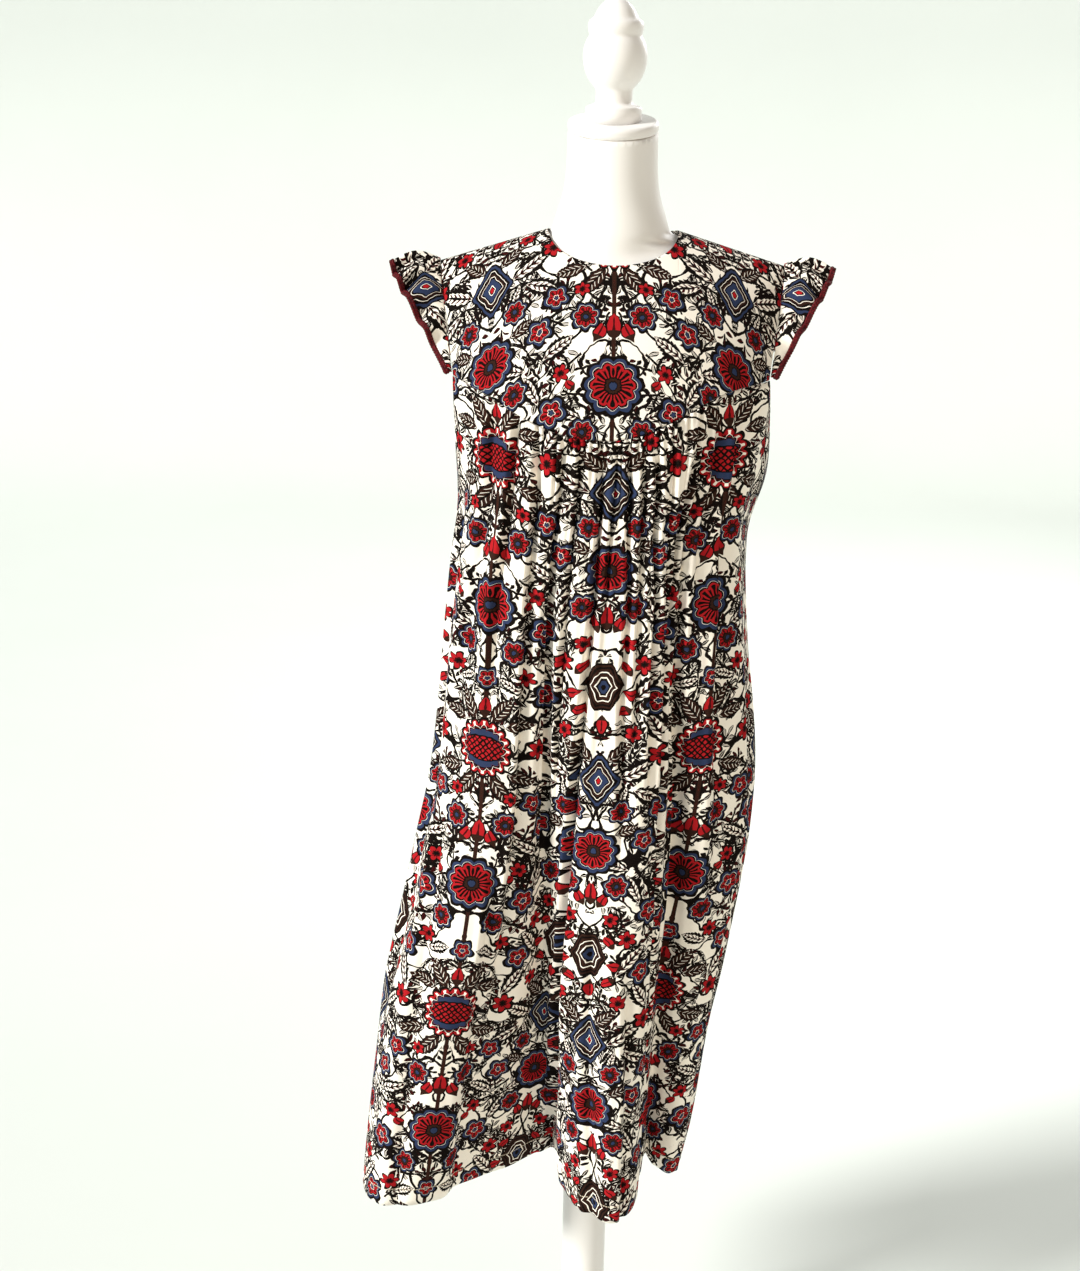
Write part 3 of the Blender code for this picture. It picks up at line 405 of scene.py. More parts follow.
# ---------------------------------------------------------------- the armhole and the skirt
def armhole(share, right, front):
    """Points of the armhole's upper part: 0 at the shoulder tip, 1 at the end of the yoke seam."""
    sign = 1.0 if right else -1.0
    ends = [np.array([value]) for value in (sign * SHOULDER_HALF, SHOULDER_TIP_Z, sign * YOKE_END_HALF)]
    column = yoke_columns(*ends, front, 64)[0]
    place = np.clip(share, 0.0, 1.0) * 64
    return np.stack([np.interp(place, np.arange(65), column[:, k]) for k in range(3)], axis=-1)


def line_at(index, z):
    row = LINES[index]
    values = np.array([(row[2 * k], row[2 * k + 1]) for k in range(4)]) / 1000
    return through(LINE_HEIGHTS[::-1], values[::-1], z)


def underarm(share, right, front):
    """Points of the armhole's lower part: 0 at the end of the yoke seam, 1 under the arm."""
    share = share[:, None]
    top = armhole(1.0, right, front)
    low = np.array((line_at(FRONT_LAST if right else 0, UNDERARM_Z)[0], 0.0, UNDERARM_Z))
    corner = np.array((low[0] * 0.5 + top[0] * 0.5, top[1] * 0.72, UNDERARM_Z + 0.012))
    return top * (1 - share) ** 2 + corner * 2 * share * (1 - share) + low * share ** 2


def skirt_top(place, front):
    """The upper edge of a skirt panel at places along its lines."""
    first = 0 if front else FRONT_LAST
    total = FRONT_LAST if front else len(LINES) - FRONT_LAST
    start, end = (corner - first for corner in (FRONT_CORNERS if front else BACK_CORNERS))
    sign = -1.0 if front else 1.0
    across = [sign * YOKE_END_HALF]
    across += [line_at((first + k) % len(LINES), SKIRT_TOP_Z)[0] - DRESS_X for k in range(start + 1, end)]
    across.append(-sign * YOKE_END_HALF)
    x = np.interp(place, np.arange(start, end + 1), across)
    edge = yoke_point(x, yoke_seam_z(x, front), front)
    before, after = place < start, place > end
    edge[before] = underarm(1.0 - place[before] / start, not front, front)
    edge[after] = underarm((place[after] - end) / (total - end), front, front)
    return edge


def sections(levels):
    """The skirt's lines at many heights, stretched so that they reach the outline."""
    points = np.stack([line_at(i, levels) for i in range(len(LINES))], axis=1)
    table = np.array(OUTLINE[::-1]) / 1000
    edges = through(table[:, 0], table[:, 1:], levels)
    low, high = points[..., 0].min(axis=1), points[..., 0].max(axis=1)
    x = points[..., 0]
    points[..., 0] = np.where(x < 0.0, x / low[:, None] * edges[:, :1], x / high[:, None] * edges[:, 1:])
    return points


def rings(points, first, last, columns):
    """Smooth closed curves through sections, read from one line to another."""
    count = points.shape[1]
    steps = np.linalg.norm(np.roll(points, -1, axis=1) - points, axis=2)
    t = (np.arange(columns) / columns)[None, :, None]
    parts = []
    for index in range(first, last if last > first else last + count):
        a, b, c, d = (points[:, (index + k) % count][:, None] for k in (-1, 0, 1, 2))
        ab, bc, cd = (steps[:, (index + k) % count][:, None, None] for k in (-1, 0, 1))
        leave, arrive = (c - a) / (ab + bc) * bc, (d - b) / (bc + cd) * bc
        parts.append(
            b * (1 + 2 * t) * (1 - t) ** 2 + c * t * t * (3 - 2 * t)
            + leave * t * (1 - t) ** 2 - arrive * t * t * (1 - t)
        )
    parts.append(points[:, last % count][:, None])
    return np.concatenate(parts, axis=1)


def skirt_grid(front, columns, rows):
    """A skirt panel with its folds and tucks; the print's lengths across and down; the way to the hem."""
    first, last = (0, FRONT_LAST) if front else (FRONT_LAST, 0)
    lines = FRONT_LAST if front else len(LINES) - FRONT_LAST
    place = np.arange(lines * columns + 1) / columns
    top = skirt_top(place, front)
    index = np.minimum(place.astype(int), lines)
    rise = np.array([line[8] for line in LINES]) / 1000
    here, there = rise[(first + index) % len(LINES)], rise[(first + index + 1) % len(LINES)]
    hem = HEM_Z + here + (there - here) * smoothstep(place - index)
    levels = np.linspace(HEM_Z, YOKE_END_Z + 0.004, LEVELS)
    table = rings(sections(levels), first, last, columns)
    share = np.linspace(0.0, 1.0, rows + 1)
    z = top[:, 2:] + (hem - top[:, 2])[:, None] * share[None]
    x = np.stack([np.interp(z[c], levels, table[:, c, 0]) for c in range(len(place))])
    y = np.stack([np.interp(z[c], levels, table[:, c, 1]) for c in range(len(place))])
    way = smoothstep((top[:, 2:] - z) / BLEND)
    grid = np.stack((top[:, :1] * (1 - way) + x * way, top[:, 1:2] * (1 - way) + y * way, z), axis=-1)
    # the length round the panel, measured at knee height
    round_it = lengths(table[np.argmin(np.abs(levels - KNEE_Z))])
    out = outward(grid, (0, -1, 0) if front else (0, 1, 0))
    depth = np.zeros(z.shape)
    for track, wide, high in FRONT_FOLDS if front else BACK_FOLDS:
        heights, places = np.array(track[::-1]).T
        centre = np.interp(np.interp(z, heights, places), place, round_it)
        part = (heights[-1] - z) / (heights[-1] - heights[0])
        away = (round_it[:, None] - centre) / (wide * (0.8 + 0.5 * np.clip(part, 0, 1)))
        # a fold drops steeply on its left, under a raised lip, and comes out again slowly
        away = np.where(away < 0, -1.7 * away, 0.55 * away)
        fade = smoothstep((part + 0.03) / 0.10) * smoothstep((1.02 - part) / 0.40)
        depth += high * fade * (np.exp(-away ** 1.4) - 0.30 * np.exp(-((away - 2.1) / 0.9) ** 2))
    for at, length, wide, high in FRONT_TUCKS if front else BACK_TUCKS:
        down = top[:, 2:] - z
        centre = np.interp(at + 0.12 * np.sin(at * 9.0) * down / length, place, round_it)
        away = np.abs(round_it[:, None] - centre) / (wide * (1.0 + 1.5 * down / length))
        fade = np.clip(1.0 - down / length, 0.0, 1.0) ** 1.3
        depth -= high * fade * np.exp(-away)
        depth += 0.45 * high * fade * np.exp(-((away - 1.9) / 0.9) ** 2)
    # fine unevenness of cloth that has been worn
    across, down = round_it[:, None], top[:, 2:] - z
    sway = np.sin(across * 61.0 + 2.0 * np.sin(down * 9.0))
    depth += WORN * sway * np.sin(down * 17.0 + across * 23.0)
    # the print: lengths along each row, from its mirror axes at two folds, and down each column
    along = lengths(grid)

    def from_axis(at):
        return along - np.stack([np.interp(at, place, row) for row in along.T])

    if front:
        valley = np.interp(z, *np.array(VALLEY[::-1]).T)
        left, right = (from_axis(at) for at in FRONT_AXES)
        across = np.where(place[:, None] < valley, left, right + sizes().half)
    else:
        across = from_axis(BACK_AXIS)
    run = lengths(grid, axis=1)
    down = run - 0.8 * (top[:, 2:] - top[:, 2].min()) + SKIRT_PRINT_START[front]
    grid += out * (depth * sizes().crease)[..., None]
    return grid, across, down, run[:, -1:] - run


def outward(grid, towards):
    """Unit normals of a grid, all to the side that its middle shows to a direction."""
    normal = unit(np.cross(np.gradient(grid, axis=0), np.gradient(grid, axis=1)))
    middle = normal[grid.shape[0] // 2, grid.shape[1] // 2]
    return normal if np.dot(middle, towards) > 0 else -normal


def frill_grid(right, columns, rows):
    """A frill: columns from its front end over the shoulder to its back end, rows outwards."""
    sign = 1.0 if right else -1.0
    place = np.linspace(-FRILL_REACH, FRILL_REACH, columns + 1)

    def seam(at):
        front, back = (armhole(np.abs(at), right, side) for side in (True, False))
        return np.where(at[:, None] <= 0, front, back)

    root = seam(place)
    tangent = unit(seam(np.minimum(1.0, place + 0.06)) - seam(np.maximum(-1.0, place - 0.06)))
    inner_x = root[:, 0] - DRESS_X - 0.002 * sign
    front, back = (yoke_point(inner_x, root[:, 2], side) for side in (True, False))
    inner = np.where(place[:, None] <= 0, front, back)
    facing = unit(np.cross(root - inner, tangent))
    side = np.einsum("ij,ij->i", facing, root - np.array((DRESS_X, 0.0, YOKE_END_Z)))
    facing = np.where(side[:, None] > 0, facing, -facing)
    flare = np.clip((root[:, 2] - YOKE_END_Z) / (SHOULDER_TIP_Z - YOKE_END_Z), 0.0, 1.0)[:, None]
    width = FRILL_END_WIDTH + (FRILL_WIDTH - FRILL_END_WIDTH) * flare ** FRILL_TAPER
    lift = np.full(len(place), FRILL_LIFT)
    out = unit(np.stack((np.full(len(place), sign), FRILL_SPREAD * place * flare[:, 0], lift), axis=-1))
    wave_way = unit(np.cross(out, tangent) * -sign)
    turn = sizes().waves * math.pi * place
    wave = np.sin(turn + 0.6) + 0.25 * np.sin(1.7 * turn + 2.0)
    wave = (wave * sizes().wave_depth)[:, None] * np.minimum(1.0, flare * 3.0)
    # fine ripples that the gathers give it beside its seam
    fine = (np.sin(23 * math.pi * place + 1.3) + 0.6 * np.sin(37 * math.pi * place))[:, None] * 0.0009
    start = root + facing * 0.0018 + out * 0.0004
    part = np.linspace(0.0, 1.0, rows + 1)[None, :, None]
    arch = np.array((0.0, 0.0, 1.0)) * (FRILL_ARCH * np.sin(math.pi * part) * flare[:, None])
    ripple = fine[:, None] * np.exp(-((part - 0.12) / 0.25) ** 2) * np.minimum(1.0, flare * 4.0)[:, None]
    spread = (out * width)[:, None] * part + (wave_way * wave)[:, None] * part
    return start[:, None] + spread + arch + wave_way[:, None] * ripple


# ---------------------------------------------------------------- cloth pieces
def draw_in(grid, sides, top, bottom=0.0):
    """Draw a piece's edges in by small gaps, so that it stays clear of what it is sewn to."""
    was = grid.copy()
    for edge, inner in ((0, 1), (-1, -2)):
        grid[edge] += unit(was[inner] - was[edge]) * sides
    grid[:, 0] += unit(was[:, 1] - was[:, 0]) * top
    grid[:, -1] += unit(was[:, -2] - was[:, -1]) * bottom


def cloth_piece(name, grid, across, down, towards, solid, finish, hem=None, thickness=None):
    """A sheet of cloth from a grid: print and hem maps in metres, wall thickened outwards."""
    columns, rows = grid.shape[:2]
    mesh = bpy.data.meshes.new(name)
    index = np.arange(columns * rows).reshape(columns, rows)
    a, b, c, d = index[:-1, :-1], index[:-1, 1:], index[1:, 1:], index[1:, :-1]
    normal = np.cross(grid[columns // 2, rows // 2 + 1] - grid[columns // 2, rows // 2],
                      grid[columns // 2 + 1, rows // 2] - grid[columns // 2, rows // 2])
    order = (a, b, c, d) if np.dot(normal, towards) > 0 else (a, d, c, b)
    faces = np.stack(order, axis=-1).reshape(-1, 4)
    mesh.from_pydata(grid.reshape(-1, 3).tolist(), [], faces.tolist())
    loops = np.empty(len(mesh.loops), dtype=np.int32)
    mesh.loops.foreach_get("vertex_index", loops)
    hem = np.ones_like(down) if hem is None else hem
    for layer, pair in (("print", (across, down)), ("hem", (across, hem))):
        values = np.stack(pair, axis=-1).reshape(-1, 2)[loops]
        mesh.uv_layers.new(name=layer).data.foreach_set("uv", values.astype(np.float32).ravel())
    piece = bpy.data.objects.new(name, mesh)
    bpy.context.scene.collection.objects.link(piece)
    mesh.materials.append(finish)
    mesh.shade_smooth()
    wall = piece.modifiers.new("Wall", "SOLIDIFY")
    wall.thickness = thickness or sizes().cloth
    wall.offset = 1.0
    wall.use_even_offset = False
    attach(piece, "root")
    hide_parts(solid)
    return piece


def swept(name, strands, radius, sides, finish):
    """Round strands along routes, closed at their ends, as one mesh."""
    verts, faces = [], []
    for route in strands:
        route = np.asarray(route, float)
        tangent = unit(np.gradient(route, axis=0))
        side = np.zeros_like(route)
        carried = np.cross(tangent[0], (0.0, 0.0, 1.0) if abs(tangent[0, 2]) < 0.9 else (1.0, 0.0, 0.0))
        for i, way in enumerate(tangent):
            carried = carried - way * np.dot(carried, way)
            carried /= np.linalg.norm(carried)
            side[i] = carried
        other = np.cross(tangent, side)
        turn = np.linspace(0.0, 2 * math.pi, sides, endpoint=False)
        ring = side[:, None] * np.cos(turn)[None, :, None] + other[:, None] * np.sin(turn)[None, :, None]
        base = len(verts)
        verts += (route[:, None] + radius * ring).reshape(-1, 3).tolist()
        last = base + (len(route) - 1) * sides
        for low in range(base, last, sides):
            for s in range(sides):
                t = (s + 1) % sides
                faces.append((low + s, low + t, low + sides + t, low + sides + s))
        faces.append(tuple(base + s for s in reversed(range(sides))))
        faces.append(tuple(last + s for s in range(sides)))
    mesh = bpy.data.meshes.new(name)
    mesh.from_pydata(verts, [], faces)
    mesh.materials.append(finish)
    mesh.shade_smooth()
    piece = bpy.data.objects.new(name, mesh)
    bpy.context.scene.collection.objects.link(piece)
    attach(piece, "root")
    return piece


# ---------------------------------------------------------------- turned pieces
def alone(thing=None):
    """Deselect everything, and make one object the only one worked on."""
    if bpy.context.mode != "OBJECT":
        bpy.ops.object.mode_set(mode="OBJECT")
    bpy.ops.object.select_all(action="DESELECT")
    if thing:
        thing.select_set(True)
        bpy.context.view_layer.objects.active = thing


def turned_piece(name, profile, finish, solid, sides=96):
    """A turned piece: a circle drawn out ring by ring up its profile, closed at both ends."""
    alone()
    radius, height = profile[0]
    bpy.ops.mesh.primitive_circle_add(
        vertices=sides, radius=radius, location=(0.0, 0.0, height), fill_type="NGON",
    )
    piece = bpy.context.object
    piece.name = piece.data.name = name
    bpy.ops.object.transform_apply(location=True, rotation=True, scale=True)
    bpy.ops.object.mode_set(mode="EDIT")
    bpy.ops.mesh.select_mode(type="VERT")
    bpy.ops.mesh.select_all(action="SELECT")
    for wide, high in profile[1:]:
        bpy.ops.mesh.extrude_region_move(TRANSFORM_OT_translate={"value": (0.0, 0.0, high - height)})
        if wide > 0.0:
            growth = wide / radius
            bpy.ops.transform.resize(value=(growth, growth, 1.0), center_override=(0.0, 0.0, high))
            radius, height = wide, high
        else:
            bpy.ops.mesh.merge(type="CENTER")
    bpy.ops.mesh.select_all(action="SELECT")
    bpy.ops.mesh.remove_doubles(threshold=0.000001)
    bpy.ops.mesh.normals_make_consistent(inside=False)
    bpy.ops.object.mode_set(mode="OBJECT")
    piece.data.materials.append(finish)
    bpy.ops.object.shade_smooth_by_angle(angle=math.radians(35))
    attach(piece, "root")
    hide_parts(solid)
    return piece


# ---------------------------------------------------------------- finishes
def node(tree, kind, *values, stops=None, **settings):
    """Add a node, set or link its live inputs in order: its first live output.

    A maths node's operation is said after its kind.
    """
    kind, _, operation = kind.partition(" ")
    made = tree.nodes.new("ShaderNode" + kind)
    if operation:
        made.operation = operation
    for key, value in settings.items():
        setattr(made, key, value)
    if stops:
        ramp = made.color_ramp
        ramp.interpolation = "CONSTANT"
        while len(ramp.elements) < len(stops):
            ramp.elements.new(0.5)
        for element, (place, code) in zip(ramp.elements, stops):
            element.position = place
            colour = linear(code) if isinstance(code, str) else code
            element.color = (*colour, 1.0) if colour else (0.0, 0.0, 0.0, 0.0)
    for socket, value in zip([s for s in made.inputs if s.enabled], values):
        if isinstance(value, bpy.types.NodeSocket):
            tree.links.new(value, socket)
        elif value is not None:
            socket.default_value = value
    return next(s for s in made.outputs if s.enabled)


def new_finish(name, **sockets):
    """A material with a Principled shader whose own sockets hold the constants."""
    made = bpy.data.materials.new(name)
    made.use_nodes = True
    shader = made.node_tree.nodes["Principled BSDF"]
    for key, value in sockets.items():
        shader.inputs[key.replace("_", " ")].default_value = value
    return made, made.node_tree, shader


def drift(tree, shader, noise, one, other):
    """Base colour that drifts between two tones over a piece, by noise of a scale, detail and roughness."""
    place = tree.nodes.new("ShaderNodeTexCoord").outputs["Object"]
    cloud = node(tree, "TexNoise", place, *noise)
    tone = node(tree, "Mix", cloud, (*one, 1.0), (*other, 1.0), data_type="RGBA")
    tree.links.new(tone, shader.inputs["Base Color"])
    return place


def painted_finish(name, code, roughness):
    """Satin white paint over turned wood, steel or a moulded shell: faint unevenness of the brush."""
    made, tree, shader = new_finish(name, Roughness=roughness, Specular_IOR_Level=0.4)
    place = drift(tree, shader, (9.0, 3.0, 0.5), linear(code), [c * 0.93 for c in linear(code)])
    grain = node(tree, "TexNoise", place, 420.0, 2.0, 0.5)
    bump = node(tree, "Bump", 0.06, 0.001, None, grain)
    tree.links.new(bump, shader.inputs["Normal"])
    return made


def braid_finish():
    """Rayon braid, dyed maroon, with a bumpy face and little shine: painted shade darkens it between its
    threads, and a painted highlight lightens the raised threads.
    """
    made, tree, shader = new_finish("maroon_rayon_braid", Roughness=0.7, Specular_IOR_Level=0.2)
    place = tree.nodes.new("ShaderNodeTexCoord").outputs["Object"]
    cloud = node(tree, "TexNoise", place, 600.0, 2.0, 0.6)
    # painted shade and highlight: the colour follows the bump, near black where it is lowest, between the
    # threads, and lighter red where it is highest, on the raised threads
    tone = node(tree, "ValToRGB", cloud, stops=((0.0, "#160204"), (0.45, "#3E070C"), (0.60, "#6A1018")))
    tone.node.color_ramp.interpolation = "LINEAR"
    tree.links.new(tone, shader.inputs["Base Color"])
    bump = node(tree, "Bump", 0.5, 0.0006, None, cloud)
    tree.links.new(bump, shader.inputs["Normal"])
    return made


# ---------------------------------------------------------------- the print
# where each motif stands in one half of the print, in millimetres: how far from the first
# mirror axis, how far down the repeat, its turn in degrees, and its size from middle to rim
ROSETTES = ((0, 34, 0, 35), (137, 310, 0, 31))
STEM_FLOWERS = ((32, 82, 0, 18), (108, 22, 0, 18), (109, 262, 0, 16), (30, 288, 0, 18))
BLUE_FLOWERS = ((66, 56, 0, 20), (72, 132, 15, 19), (0, 118, 0, 15), (80, 296, 0, 18), (62, 262, 0, 17))
RAGGED = (
    (92, 88, 0, 13), (48, 112, 15, 12), (66, 196, 0, 15), (100, 168, 10, 12), (34, 256, 0, 10),
    (112, 64, 0, 11), (56, 16, 20, 11),
)
DIAMONDS = ((137, 224, 0, 33),)
STARS = ((137, 112, 0, 31),)
MEDALLIONS = ((0, 200, 0, 36),)
BUDS = (
    (0, 300, 0, 15), (15, 306, 34, 12), (137, 34, 0, 14), (123, 40, 30, 11), (104, 122, -78, 10),
    (112, 92, -40, 10), (112, 142, -125, 10), (137, 156, 180, 12), (0, 152, 0, 12), (46, 30, -40, 8),
)
BROWN_LEAVES = (
    (20, 154, -38, 21), (42, 168, -80, 18), (20, 246, -142, 21), (46, 232, -102, 18),
    (116, 190, 48, 18), (100, 284, 70, 15),
)
SCALLOPED_LEAVES = (
    (88, 116, 42, 25), (72, 164, -28, 22), (92, 212, 62, 25), (78, 244, 118, 22), (112, 326, -70, 17),
    (48, 60, -60, 17), (88, 26, -24, 20), (60, 318, 60, 20), (30, 122, 70, 16), (108, 246, 20, 15),
)
# sprigs thrown over the ground: the size of a cell in millimetres, its seed, the bands of ink from
# a leaf's middle outwards, and up to which share of the cells has one
SPRIGS = (
    (34.0, 1.0, "black .13 ivory .4 black 1 -", 1.0),
    (28.0, 5.0, "black .12 maroon .56 black 1 -", 0.68),
    (30.0, 3.0, "ivory .12 black 1 -", 0.85),
    (25.0, 7.0, "black 1 -", 0.62),
)
# leaves of a sprig: where each stands, its turn in degrees and its size, in halves of a cell
SPRIG_LEAVES = (((0.0, 0.64), 0, 0.34), ((0.38, 0.24), -48, 0.34), ((0.40, -0.34), -62, 0.36))
# round flowers: their spots, petals and how deep those are cut, the bands of ink from the middle
# outwards, and the bands from between two petals to a petal's middle line, with the ring they fill
FLOWERS = (
    (RAGGED, 6, 0.46, "black .24 maroon .36 red .78 black 1 -", "black .26 -", (0.36, 0.70)),
    (STEM_FLOWERS, 7, 0.22,
     "blue .14 black .19 brown .3 black .37 red .62 black .7 ivory .725 blue .84 black 1 -",
     "black .3 - .88 maroon", (0.38, 0.58)),
    (BLUE_FLOWERS, 5, 0.32,
     "blue .13 black .19 ivory .22 red .54 black .63 ivory .655 blue .82 black 1 -",
     "black .3 - .88 maroon", (0.24, 0.50)),
    (ROSETTES, 11, 0.15,
     "blue .12 black .15 brown .24 black .29 red .68 black .735 ivory .75 blue .88 black 1 -",
     "black .36 - .86 black", (0.29, 0.62)),
    (MEDALLIONS, 16, 0.16, "red .68 black .74 ivory .76 red .9 black 1 -", "black .4 - .92 ivory",
     (0.76, 0.86)),
)
# angular motifs: their spots, how pointed they are, and the bands of ink from the middle outwards
ANGULAR = (
    (DIAMONDS, 0.9, "red .1 black .15 ivory .18 blue .4 black .47 ivory .5 brown .6 black .68 ivory .71 "
                    "black .82 blue .92 black 1 -"),
    (STARS, 0.6, "black .1 blue .24 black .32 ivory .36 brown .48 black .52 ivory .56 brown .66 black .74 "
                 "brown .82 black .9 -"),
)
WAVER = 2.6             # how far an outline wavers, in millimetres like the next two
HEM_STITCHES = (21.3, 22.7)     # lower and upper edge of the row of stitches, above the hem
STITCH = 3.0            # from one stitch to the next


def nearest(tree, way, spots):
    """Place within the nearest of a motif's spots: 0 at its middle, 1 at its rim.

    The way is followed from spot to spot, each found from the one before it.
    """
    repeat = sizes().repeat * 1000
    place = far = None
    for u, v, turn, size in spots:
        for shift in (-repeat, 0, repeat):
            if not -size < v + shift < repeat + size:
                continue
            last, at, held, scale = way[-1]
            turn_now = math.radians(turn)
            step = Matrix.Rotation(-held, 2) @ (Vector((u, -v - shift)) - at) / scale
            growth = (size / scale, size / scale, 1.0)
            local = node(
                tree, "Mapping", last, (*step, 0.0), (0.0, 0.0, turn_now - held), growth,
                vector_type="TEXTURE",
            )
            way.append((local, Vector((u, -v - shift)), turn_now, size))
            length = node(tree, "VectorMath LENGTH", local)
            if place is None:
                place, far = local, length
                continue
            closer = node(tree, "Math LESS_THAN", length, far)
            place = node(tree, "Mix", closer, place, local, data_type="VECTOR")
            far = node(tree, "Math MINIMUM", length, far)
    return place


def lay(tree, under, measure, bands, mask=None):
    """Lay bands of ink over what is already printed.

    The bands are inks, with the measure between two where one gives way to the next; - is bare.
    """
    words = bands.split()
    inks = [None if word == "-" else tuple(getattr(sizes(), word)) for word in words[::2]]
    starts = [0.0] + [float(word) for word in words[1::2]]
    band = node(tree, "ValToRGB", measure, stops=list(zip(starts, inks)))
    cover = band.node.outputs["Alpha"]
    if mask is not None:
        cover = node(tree, "Math MULTIPLY", cover, mask)
    return node(tree, "Mix", cover, under, band, data_type="RGBA")


def within(tree, measure, low, high):
    return node(tree, "Math COMPARE", measure, (low + high) / 2, (high - low) / 2)


def lobed(tree, place, petals, depth):
    """How far out a place is in a petalled round, and how near to the middle line of a petal."""
    x = node(tree, "SeparateXYZ", place)
    turn = node(tree, "Math ARCTAN2", x.node.outputs[1], x)
    turn = node(tree, "Math MULTIPLY_ADD", turn, petals / 2, math.pi / 4 * petals)
    petal = node(tree, "Math ABSOLUTE", node(tree, "Math COSINE", turn))
    rim = node(tree, "Math MULTIPLY_ADD", petal, depth, 1.0 - depth)
    length = node(tree, "VectorMath LENGTH", place)
    return node(tree, "Math DIVIDE", length, rim), petal


def leaf(tree, place, width, notches=0.0):
    """How far out a place is in a pointed leaf, and a measure that slants along its veins."""
    x = node(tree, "SeparateXYZ", place)
    y = x.node.outputs[1]
    x = node(tree, "Math ABSOLUTE", x)
    rest = node(tree, "Math MULTIPLY", y, y)
    rest = node(tree, "Math MULTIPLY_ADD", rest, -width, width)
    rest = node(tree, "Math MAXIMUM", rest, 0.001)
    vein = node(tree, "Math MULTIPLY", node(tree, "Math MULTIPLY_ADD", x, -1.2, y), 3.4)
    if notches:
        tooth = node(tree, "Math SINE", node(tree, "Math MULTIPLY", vein, math.pi))
        tooth = node(tree, "Math MULTIPLY_ADD", node(tree, "Math ABSOLUTE", tooth), notches, 1.0 - notches)
        rest = node(tree, "Math MULTIPLY", rest, tooth)
    return node(tree, "Math DIVIDE", x, rest), node(tree, "Math FRACT", vein)


def spray(tree, place):
    """How far out a place is in a sprig: a stem with a leaf at its tip and two pairs beside it."""
    x = node(tree, "SeparateXYZ", place)
    y = x.node.outputs[1]
    side = node(tree, "Math ABSOLUTE", x)
    folded = node(tree, "CombineXYZ", side, y, 0.0)
    best = None
    for at, turn, size in SPRIG_LEAVES:
        part = node(
            tree, "Mapping", folded, (*at, 0.0), (0.0, 0.0, math.radians(turn)), (size, size, 1.0),
            vector_type="TEXTURE",
        )
        one = node(tree, "SeparateXYZ", part)
        along = node(tree, "Math MULTIPLY", one.node.outputs[1], one.node.outputs[1])
        along = node(tree, "Math MAXIMUM", node(tree, "Math MULTIPLY_ADD", along, -0.46, 0.46), 0.001)
        out = node(tree, "Math DIVIDE", node(tree, "Math ABSOLUTE", one), along)
        best = out if best is None else node(tree, "Math MINIMUM", best, out)
    stem = node(tree, "Math ADD", side, node(tree, "Math GREATER_THAN", node(tree, "Math ABSOLUTE", y), 0.9))
    return best, stem


def scattered(tree, place, cell, seed):
    """Places within cells thrown over the cloth, each turned its own way, and a number for each."""
    moved = node(tree, "Mapping", place, (seed * 37.0, seed * 11.0, 0.0), None, (1.0 / cell, 1.0 / cell, 1.0))
    cells = node(tree, "TexVoronoi", moved, voronoi_dimensions="2D")
    cells.node.inputs["Scale"].default_value = 1.0
    cells.node.inputs["Randomness"].default_value = 0.85
    local = node(tree, "VectorMath SUBTRACT", moved, cells.node.outputs["Position"])
    chance = node(tree, "SeparateXYZ", cells.node.outputs["Color"])
    turn = node(tree, "Math MULTIPLY", chance, 2 * math.pi)
    local = node(tree, "VectorRotate", local, None, turn, rotation_type="Z_AXIS")
    return local, chance.node.outputs[1]


